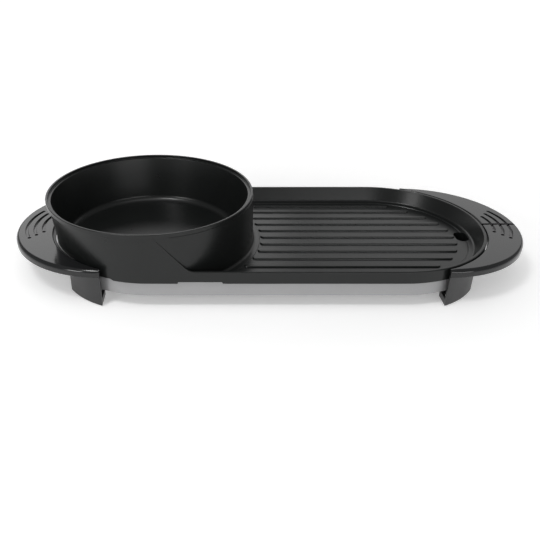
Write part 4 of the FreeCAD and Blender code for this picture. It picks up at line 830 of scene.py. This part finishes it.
# Cooking plate: one aluminium casting under a black non-stick coat. A deep pot at the left and a ribbed
# grill at the right share a rim and a skirt that hangs over the silver band. It lies loose on the pan's
# posts.
EDGE_R = 0.1 * MM
RIM_Z = left_high.z + 0.2 * MM
RIM_ROUND = 1.2 * MM
PLATE_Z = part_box("base_pan")[1].z
FLOOR_Z = RIM_Z - 18.0 * MM
SKIRT_Z = RIM_Z - 15.1 * MM
SKIRT_T = 2.0 * MM
SKIRT_FOOT_H = 3.0 * MM
SKIRT_TOP_DROP = 6.0 * MM
SKIRT_SIDE_DROP = 8.0 * MM
SKIRT_IN_ROUND = 0.3 * MM
SKIRT_OUT_ROUND = 1.3 * MM
UNDER_ROUND = 2.0 * MM
GAP_ROUND = 0.8 * MM
WALL_TOP_R = SKIRT_R - 3.5 * MM
WALL_FOOT_R = WALL_TOP_R - 7.6 * MM
WALL_TOP_ROUND = 0.5 * MM
WALL_SLOPE = (WALL_TOP_R - WALL_FOOT_R) / (RIM_Z - FLOOR_Z)
CAST_T = FLOOR_Z - PLATE_Z
FOOT_FILLET = 3.0 * MM
FILLET_RUN = 0.75 * FOOT_FILLET
BORDER_W = 4.6 * MM
BORDER_H = 0.45 * MM
BORDER_ROUND = 0.3 * MM
DIP_W = 1.4 * MM
DIP_STEP = 0.5 * MM
DIP_DEPTH = 0.15 * MM
FLOOR_RING_R = 60.0 * MM
NOTCH_X0 = POT_X + 38.8 * MM
NOTCH_X1 = NOTCH_X0 + 48.2 * MM
NOTCH_H = 2.0 * MM
NOTCH_RAMP = 1.0 * MM
END_NOTCH_X = POT_X - 36.1 * MM
POT_RIM_Z = plate_high.z
LIP_Z = POT_RIM_Z - 4.5 * MM
CHEEK_STEP_TOP = 0.3 * MM
CHEEK_STEP_FOOT = 1.8 * MM
CHEEK_TOP_X = POT_X + 12.4 * MM
CHEEK_FOOT_X = POT_X + 51.5 * MM
CHEEK_END_X = CHEEK_FOOT_X + 20.0 * MM
CHEEK_TOP_R = 8.0 * MM
CHEEK_FOOT_R = 15.0 * MM
CORNER_POINTS = 9
SLANT_POINTS = 15
SIDE_POINTS = 62
LID_Z = POT_RIM_Z - 3.0 * MM
LID_R = POT_RIM_R - 2.7 * MM
LEDGE_ROUND = 0.9 * MM
LEDGE_CORNER = 0.4 * MM
RIM_IN_ROUND = 0.6 * MM
RIM_OUT_ROUND = 0.8 * MM
WELL_R = LID_R - 3.3 * MM
WELL_FLOOR_Z = PLATE_Z + 6.5 * MM
WELL_DRAFT = 12.3 * MM
WELL_FILLET = 9.0 * MM
WELL_FLAT_GAP = 14.0 * MM
POT_WALL_T = 3.5 * MM
POT_LEVELS = 14
POT_SIDE_STEPS = 60
POT_FRONT_STEPS = 12
CREASE_SINES = (0.3, 0.9999)
TINY = 1e-9
POT_TOP_R = POT_RIM_R + 0.5 * MM
POT_FOOT_R = POT_TOP_R + 1.5 * MM
POT_FOOT_H = 4.0 * MM
LIP_STEP = 0.05 * MM
LIP_DROP = 0.15 * MM
LAND_R = POT_FOOT_R + 8.0 * MM
LAND_H = 0.4 * MM
LAND_EDGE = 0.6 * MM
LAND_DIP = 0.2 * MM
LAND_ROUND = 0.3 * MM
LAND_FOOT_ROUND = 0.2 * MM
SUNK = 1.0 * MM
BURIED = 1.2 * MM
BLEND_START = 0.3 * MM
HIDDEN = 0.5 * MM
RIB_COUNT = 11
RIB_PITCH = 18.9 * MM
RIB_HALF_W = 4.2 * MM
RIB_FLARE = 0.4 * MM
RIB_TOP_HALF_W = 3.4 * MM
RIB_H = 1.6 * MM
RIB_ROUND = 1.2 * MM
RIB_END_R = 91.5 * MM
RIB_END_RUN = 29.0 * MM
RIB_START_GAP = 9.0 * MM
DRAIN_R = WALL_FOOT_R - 10.9 * MM
DRAIN_W = 15.7 * MM
DRAIN_L = 25.0 * MM
SPOUT_T = 2.0 * MM
SEAT_R = 92.0 * MM
SEAT_DEPTH = 2.0 * MM
SEAT_LOW_Z = 20.0 * MM
COAT_DARK = (0.0060, 0.0068, 0.0066)
COAT_LIGHT = (0.0085, 0.0095, 0.0092)
COAT_SPECKLE = (0.030, 0.032, 0.031)
COAT_ROUGHNESS = 0.26
COAT_CLOUD_UNEVEN = 0.05
COAT_SPECKLE_UNEVEN = 0.03
SPECKLE_SHARE = 0.15
PEEL_SHARE = 0.6

# The cheek's slanted top edge, with a round corner above and a hollow one below
slope = (LIP_Z - RIM_Z) / (CHEEK_FOOT_X - CHEEK_TOP_X)
slant_turn = math.atan(slope)
corner_reach = CHEEK_TOP_R * math.tan(slant_turn / 2)
foot_reach = CHEEK_FOOT_R * math.tan(slant_turn / 2)
corner_x0 = CHEEK_TOP_X - corner_reach
corner_x1 = CHEEK_TOP_X + corner_reach * math.cos(slant_turn)
foot_x0 = CHEEK_FOOT_X - foot_reach * math.cos(slant_turn)
foot_x1 = CHEEK_FOOT_X + foot_reach


def cheek_top(x):
    """Height of the cheek's edge: level, an arc, a straight slant, a hollow arc and the grill's rim."""
    corner = LIP_Z - CHEEK_TOP_R + np.sqrt(np.maximum(CHEEK_TOP_R**2 - (x - corner_x0) ** 2, 0))
    foot = RIM_Z + CHEEK_FOOT_R - np.sqrt(np.maximum(CHEEK_FOOT_R**2 - (foot_x1 - x) ** 2, 0))
    slant = RIM_Z + slope * (CHEEK_FOOT_X - x)
    stretches = [x < corner_x0, x < corner_x1, x < foot_x0, x < foot_x1]
    return np.select(stretches, [LIP_Z, corner, slant, foot], RIM_Z)


# The oval: underside, skirt, cheeks, rim, leaning wall and floor, as one profile carried round
under_r = WALL_FOOT_R + CAST_T - WALL_SLOPE * CAST_T
skirt_in_r = SKIRT_R - SKIRT_T
gap_z = FLOOR_Z + (skirt_in_r - WALL_FOOT_R - CAST_T) / WALL_SLOPE
border_r = WALL_FOOT_R - FILLET_RUN - BORDER_W
underside_corners = [(0, PLATE_Z), (under_r, PLATE_Z), (skirt_in_r, gap_z), (skirt_in_r, SKIRT_Z)]
underside = rounded(underside_corners, [UNDER_ROUND, GAP_ROUND])
foot_z = SKIRT_Z + SKIRT_FOOT_H
foot_corners = [(skirt_in_r, foot_z), (skirt_in_r, SKIRT_Z), (SKIRT_R, SKIRT_Z), (SKIRT_R, foot_z)]
skirt_foot = rounded(foot_corners, [SKIRT_IN_ROUND, SKIRT_OUT_ROUND], steps=5)[1:-1]
skirt_side = np.array([(SKIRT_R, RIM_Z - SKIRT_SIDE_DROP)])
top_corners = [(SKIRT_R, RIM_Z - SKIRT_TOP_DROP), (SKIRT_R, RIM_Z), (skirt_in_r, RIM_Z)]
skirt_top = rounded(top_corners, [RIM_ROUND])[1:]
inside = rounded(
    [
        (skirt_in_r, RIM_Z), (WALL_TOP_R, RIM_Z), (WALL_FOOT_R, FLOOR_Z + BORDER_H),
        (border_r, FLOOR_Z + BORDER_H), (border_r - DIP_STEP, FLOOR_Z - DIP_DEPTH),
        (border_r - DIP_W, FLOOR_Z), (FLOOR_RING_R, FLOOR_Z), (0, FLOOR_Z),
    ],
    [WALL_TOP_ROUND, FOOT_FILLET, BORDER_ROUND, EDGE_R, EDGE_R, 0],
)
stretches = [underside[:-1], skirt_foot, skirt_side, skirt_top, inside]
tray_profile = np.concatenate(stretches)
lift_foot, lift_top = (
    np.concatenate([np.full(len(stretch), float(stretch is lifted)) for stretch in stretches])
    for lifted in (skirt_foot, skirt_top)
)

notch_x = [NOTCH_X0 - NOTCH_RAMP, NOTCH_X0, NOTCH_X1, NOTCH_X1 + NOTCH_RAMP]
side_x = np.concatenate([
    np.linspace(LEFT_X, corner_x0, num=4)[1:], np.linspace(corner_x0, corner_x1, CORNER_POINTS),
    np.linspace(corner_x1, foot_x0, SLANT_POINTS), np.linspace(foot_x0, foot_x1, CORNER_POINTS),
    between(foot_x1, GRILL_X, SIDE_POINTS), notch_x,
])
side_x = np.unique(np.round(side_x, 6))
tray_x, tray_angle = oval_stations(LEFT_X, GRILL_X, side_x, arc_steps=96)
straight = np.isclose(np.abs(np.sin(tray_angle)), 1)
notch = np.interp(tray_x, notch_x, [0, 1, 1, 0])
# Round the left end the cheek rises only to where the well would meet its inner face, inside the wall
hidden_x = LEFT_X - POT_X + (skirt_in_r - HIDDEN) * np.cos(tray_angle)
from_pot = np.hypot(hidden_x, skirt_in_r * np.sin(tray_angle))
hidden_top = LID_Z - (WELL_R - from_pot) * (LID_Z - WELL_FLOOR_Z) / WELL_DRAFT
left_end = (tray_x == LEFT_X) & (np.cos(tray_angle) < 0)
cheek_z = np.where(left_end, np.minimum(hidden_top, LIP_Z), cheek_top(tray_x))
cheek_z = np.where(tray_x > CHEEK_END_X, RIM_Z, cheek_z)
end_notch = left_end & (tray_x + SKIRT_R * np.cos(tray_angle) < END_NOTCH_X)
foot_lift = NOTCH_H * np.maximum(notch * straight, end_notch)
tray_z = tray_profile[None, :, 1] + lift_foot * foot_lift[:, None] + lift_top * (cheek_z - RIM_Z)[:, None]
tray = closed_mesh("tray", carried(tray_x, tray_angle, tray_profile[None, :, 0], tray_z))


def oval_reach(theta, r):
    """Distance from the pot's centre line, in direction theta, to an oval of half width r: r / sin
    theta along the straight side, and the far root of the left end's circle beyond it."""
    c, s = np.cos(theta), np.abs(np.sin(theta))
    side = r / np.maximum(s, TINY)
    shift = LEFT_X - POT_X
    end = shift * c + np.sqrt(r**2 - (shift * s) ** 2)
    return np.where(side * c > shift, side, end)


# The pot: its floor, well, ledge for a lid, rim, lip and outer wall, turned about its centre. Where the
# wall would stand out past the long sides it is cut flat, and its columns are drawn so that one lies on
# that crease.
well = rounded(
    [
        (0, WELL_FLOOR_Z), (WELL_R - WELL_DRAFT, WELL_FLOOR_Z), (WELL_R, LID_Z), (LID_R, LID_Z),
        (LID_R, POT_RIM_Z), (POT_RIM_R, POT_RIM_Z), (POT_RIM_R, LIP_Z),
    ],
    [WELL_FILLET, LEDGE_ROUND, LEDGE_CORNER, RIM_IN_ROUND, RIM_OUT_ROUND],
    steps=10,
)
levels = np.linspace(LIP_Z - LIP_DROP, FLOOR_Z + POT_FOOT_H, POT_LEVELS)
outer_r = POT_TOP_R + (POT_FOOT_R - POT_TOP_R) * (LIP_Z - levels) / (LIP_Z - FLOOR_Z)
land_end_r = LAND_R + LAND_EDGE
foot = rounded(
    [
        (outer_r[-1], levels[-1]), (POT_FOOT_R, FLOOR_Z + LAND_H), (LAND_R, FLOOR_Z + LAND_H),
        (land_end_r, FLOOR_Z - LAND_DIP), (land_end_r, PLATE_Z + SUNK), (0, PLATE_Z + SUNK),
    ],
    [FOOT_FILLET, LAND_ROUND, LAND_FOOT_ROUND, 0],
)
floor_r = np.linspace(0, WELL_R - WELL_DRAFT - WELL_FLAT_GAP, num=5, endpoint=False)
well_floor = np.stack([floor_r, np.full(floor_r.size, WELL_FLOOR_Z)], axis=1)
lip = [(POT_RIM_R - LIP_STEP, LIP_Z)]
pot_profile = np.concatenate([well_floor, well[1:], lip, np.stack([outer_r, levels], axis=1), foot[1:]])
r_row, z_row = pot_profile.T
outside = np.arange(len(pot_profile)) > len(well_floor) + len(well) - 2
fallen = np.clip((LIP_Z - z_row) / (LIP_Z - RIM_Z), 0, 1)
step = CHEEK_STEP_TOP + (CHEEK_STEP_FOOT - CHEEK_STEP_TOP) * fallen
cut_r = np.minimum(SKIRT_R - step, under_r - BURIED + WALL_SLOPE * (z_row - PLATE_Z))
cut_r = np.where(outside, cut_r, 1.0)
plain_crease = math.asin((SKIRT_R - CHEEK_STEP_TOP) / POT_FOOT_R)
crease = np.arcsin(np.clip(cut_r / np.maximum(r_row, TINY), *CREASE_SINES))
crease = np.where(outside, crease, plain_crease)
right_share = np.linspace(0, 1, POT_SIDE_STEPS, endpoint=False)
front_share = np.linspace(1, 2, POT_FRONT_STEPS, endpoint=False)
left_share = np.linspace(2, 3, POT_SIDE_STEPS + 1)
share = np.concatenate([right_share, front_share, left_share])[:, None]
right_turn = share * crease
front_turn = crease + (share - 1) * (math.pi / 2 - crease)
left_turn = math.pi / 2 + (share - 2) * math.pi / 2
theta_half = np.where(share < 1, right_turn, np.where(share < 2, front_turn, left_turn))
theta = np.concatenate([theta_half, 2 * math.pi - theta_half[-2:0:-1]])
reach = oval_reach(theta, np.minimum(cut_r, SKIRT_R))
# Round the left end the wall leans out evenly, from the oval's end up to the rim that stands out past it
side_reach = oval_reach(theta, SKIRT_R) - BLEND_START
rise = (z_row - RIM_Z) / (LIP_Z - RIM_Z)
blend_r = side_reach + (WELL_R + POT_WALL_T - side_reach) * rise
blend_r = np.where((rise > 0) & (np.cos(theta) < 0), blend_r, 0)
radius = np.where(outside, np.maximum(np.minimum(r_row, reach), blend_r), r_row)
pot_x = POT_X + radius * np.cos(theta)
pot_y = CENTRE_Y + radius * np.sin(theta)
pot = closed_mesh("pot", np.stack([pot_x, pot_y, np.broadcast_to(z_row, pot_x.shape)], axis=-1))

# Ribs: low mounds with round ends, whose left ends follow the pot's foot and right ends the grill's end
rib_low_z = FLOOR_Z - SUNK
rib_top_z = FLOOR_Z + RIB_H
mound = rounded(
    [(0, rib_low_z), (RIB_HALF_W + RIB_FLARE, rib_low_z), (RIB_TOP_HALF_W, rib_top_z), (0, rib_top_z)],
    [0, RIB_ROUND],
)
rib_y = ((np.arange(RIB_COUNT) - (RIB_COUNT - 1) / 2) * RIB_PITCH)[:, None, None]
start_x = POT_X + np.sqrt((POT_FOOT_R + RIB_START_GAP) ** 2 - rib_y**2) + RIB_HALF_W
stop_x = GRILL_X + np.sqrt(np.maximum(RIB_END_R**2 - rib_y**2, RIB_END_RUN**2)) - RIB_HALF_W
along, rib_angle = oval_stations(0.0, 1.0, between(0, 1, count=10), arc_steps=16)
rib_x = start_x + (stop_x - start_x) * along[:, None] + mound[:, 0] * np.cos(rib_angle)[:, None]
rib_side_y = CENTRE_Y + rib_y + mound[:, 0] * np.sin(rib_angle)[:, None]
rib_z = np.broadcast_to(mound[:, 1], rib_x.shape)
ribs = closed_mesh("ribs", np.stack([rib_x, rib_side_y, rib_z], axis=-1))


# Drain: a slot across the grill's end, through a spout that hangs over the drip tray
def slot_mesh(margin, low, high, edge):
    """Upright slot with round ends, long across the appliance: a disc's edge moved out to either side."""
    half_run = (DRAIN_L - DRAIN_W) / 2
    turn = np.linspace(0, 2 * math.pi, num=65)[:-1, None]
    edge_r = DRAIN_W / 2 + margin
    section = rounded([(0, low), (edge_r, low), (edge_r, high), (0, high)], [edge, edge], steps=3)
    w = section[None, :, 0]
    x = GRILL_X + DRAIN_R + w * np.cos(turn)
    y = CENTRE_Y + w * np.sin(turn) + np.sign(w) * half_run * np.sign(np.sin(turn) + TINY)
    return closed_mesh("slot", np.stack([x, y, np.broadcast_to(section[None, :, 1], x.shape)], axis=-1))


spout = slot_mesh(SPOUT_T, plate_low.z, FLOOR_Z - SUNK, SKIRT_IN_ROUND)
drain = slot_mesh(0, plate_low.z - PAST, RIM_Z, 0)

# Seat: a shallow round recess under the pot, and then all of the plate in one
seat_z = PLATE_Z + SEAT_DEPTH
seat_profile = np.array([(0, SEAT_LOW_Z), (SEAT_R, SEAT_LOW_Z), (SEAT_R, seat_z), (0, seat_z)])
seat = closed_mesh("seat", turned(seat_profile, POT_X, CENTRE_Y, steps=128))
plate = tray
for added in (pot, ribs, spout):
    plate = combined(plate, added, "UNION")
for cutter in (drain, seat):
    plate = combined(plate, cutter, "DIFFERENCE")

f = finish("nonstick_coat")
cloud = f.noise(size=38 * MM, detail=3)
peel = f.noise(size=0.9 * MM)
grain = f.noise(size=0.35 * MM, detail=1)
speckle = f.step(f.noise(size=0.7 * MM, detail=1), low=0.60, high=0.72)
black = f.blend(speckle * SPECKLE_SHARE, f.blend(cloud, COAT_DARK, COAT_LIGHT), COAT_SPECKLE)
relief = f.bump(peel * PEEL_SHARE + grain * (1 - PEEL_SHARE), depth=0.02 * MM)
uneven = cloud * COAT_CLOUD_UNEVEN + speckle * COAT_SPECKLE_UNEVEN
nonstick = f.coat(black, uneven + COAT_ROUGHNESS, relief, ior=1.43)
place_piece(plate, "grill_and_pot", nonstick, "cooking_plate", "nonstick_coat", "cooking_plate", crease=40)


# Room: a plain white floor that runs into a white background, soft daylight all round, and large
# softboxes. The background's white is only for the rays that show it, and the floor keeps the
# appliance's shadow.
BLACK = (0.0, 0.0, 0.0)
WHITE = (1.0, 1.0, 1.0)
FLOOR_HALF = 6.0
FLOOR_T = 0.05
FLOOR_DROP = 0.05 * MM
FLOOR_WHITE = (0.86, 0.86, 0.86)
FLOOR_GLOW = 0.30
FAR_GLOW = 0.5
FAR_FROM, FAR_TO = 0.2, 1.5
FAR_SCALE = 5.0
SKY_LIGHT = 0.38
CEILING = 0.22
CEILING_FROM, CEILING_TO = 0.0, 0.22


def shown_rays(f):
    """1 for the rays that show the background: to the camera, in a reflection or through glass."""
    names = ("Is Camera Ray", "Is Glossy Ray", "Is Transmission Ray")
    camera, glossy, through = (f.add("ShaderNodeLightPath", output=name) for name in names)
    return camera.peak(glossy).peak(through)


f = finish("floor_white")
camera_ray = f.add("ShaderNodeLightPath", output="Is Camera Ray")
distance = f.add("ShaderNodeVectorMath", {"operation": "LENGTH"}, {0: f.place()}, output="Value")
far = f.step(distance * (1 / FAR_SCALE), low=FAR_FROM / FAR_SCALE, high=FAR_TO / FAR_SCALE)
glow = f.blend(shown_rays(f) * FLOOR_GLOW + camera_ray * far * FAR_GLOW, BLACK, WHITE)
paper = f.add("ShaderNodeBsdfDiffuse", {}, {"Color": FLOOR_WHITE})
lit = f.add("ShaderNodeEmission", {}, {"Color": glow, "Strength": 1.0})
f.add("ShaderNodeOutputMaterial", {}, {"Surface": f.add("ShaderNodeAddShader", {}, {0: paper, 1: lit})})
floor_mesh = box_mesh((-FLOOR_HALF, -FLOOR_HALF, -FLOOR_T), (FLOOR_HALF, FLOOR_HALF, -FLOOR_DROP))
floor_mesh.materials.append(f.owner)
floor = bpy.data.objects.new("floor", floor_mesh)
bpy.context.scene.collection.objects.link(floor)

world = bpy.data.worlds.new("studio")
bpy.context.scene.world = world
f = Finish(world)
camera_ray = f.add("ShaderNodeLightPath", output="Is Camera Ray")
up = f.add("ShaderNodeSeparateXYZ", {}, {"Vector": f.add("ShaderNodeTexCoord")}, output="Z")
ceiling = f.step(up, low=CEILING_FROM, high=CEILING_TO)
seen = camera_ray.peak(1.0 - ceiling * (1 - CEILING))
light = f.blend(shown_rays(f) * (seen - SKY_LIGHT) + SKY_LIGHT, BLACK, WHITE)
sky = f.add("ShaderNodeBackground", {}, {"Color": light, "Strength": 1.0})
f.add("ShaderNodeOutputWorld", {}, {"Surface": sky})


def softbox(name, place, aim, width, height, radiance):
    """Rectangular lamp at a place, turned to face a point, as bright as radiance all over."""
    lamp = bpy.data.lights.new(name, "AREA")
    lamp.shape = "RECTANGLE"
    lamp.size = width
    lamp.size_y = height
    lamp.energy = radiance * math.pi * width * height
    box = bpy.data.objects.new(name, lamp)
    box.location = place
    box.rotation_euler = (Vector(aim) - Vector(place)).to_track_quat("-Z", "Y").to_euler()
    bpy.context.scene.collection.objects.link(box)


softbox("back_light_left", (-0.5, 1.5, 0.80), aim=(-0.1, 0, 0.03), width=1.5, height=0.6, radiance=1.35)
softbox("back_light_right", (0.9, 1.4, 0.80), aim=(0.1, 0, 0.03), width=1.3, height=0.6, radiance=0.78)
softbox("key_light", (-0.62, -0.65, 1.49), aim=(-0.19, -0.11, 0.05), width=0.33, height=0.35, radiance=20.0)
softbox("overhead", (-0.1, -0.25, 1.6), aim=(0, 0, 0.03), width=1.3, height=0.8, radiance=0.8)
softbox("left_light", (-1.0, -1.05, 0.62), aim=(0.2, 0.07, 0.04), width=0.4, height=0.35, radiance=7.5)
softbox("front_light", (0.85, -1.75, 0.60), aim=(0.08, 0, 0.04), width=1.5, height=0.4, radiance=3.8)

# Camera: a long lens in front of the pot's side of the appliance, looking down at it
CAMERA_PLACE = (-63.7 * MM, -756.35 * MM, 401.2 * MM)
CAMERA_TILT = 60.23
FOCAL_PIXELS = 651.2
FRAME_PIXELS = 540
PRINCIPAL_X, PRINCIPAL_Y = 217.2, 270.9
SENSOR_MM = 36.0

camera_data = bpy.data.cameras.new("camera")
camera_data.sensor_width = SENSOR_MM
camera_data.lens = FOCAL_PIXELS / FRAME_PIXELS * SENSOR_MM
camera_data.shift_x = 0.5 - PRINCIPAL_X / FRAME_PIXELS
camera_data.shift_y = PRINCIPAL_Y / FRAME_PIXELS - 0.5
camera = bpy.data.objects.new("camera", camera_data)
camera.location = CAMERA_PLACE
camera.rotation_euler = (math.radians(CAMERA_TILT), 0, 0)
bpy.context.scene.collection.objects.link(camera)
bpy.context.scene.camera = camera
bpy.context.scene.view_settings.view_transform = "Standard"
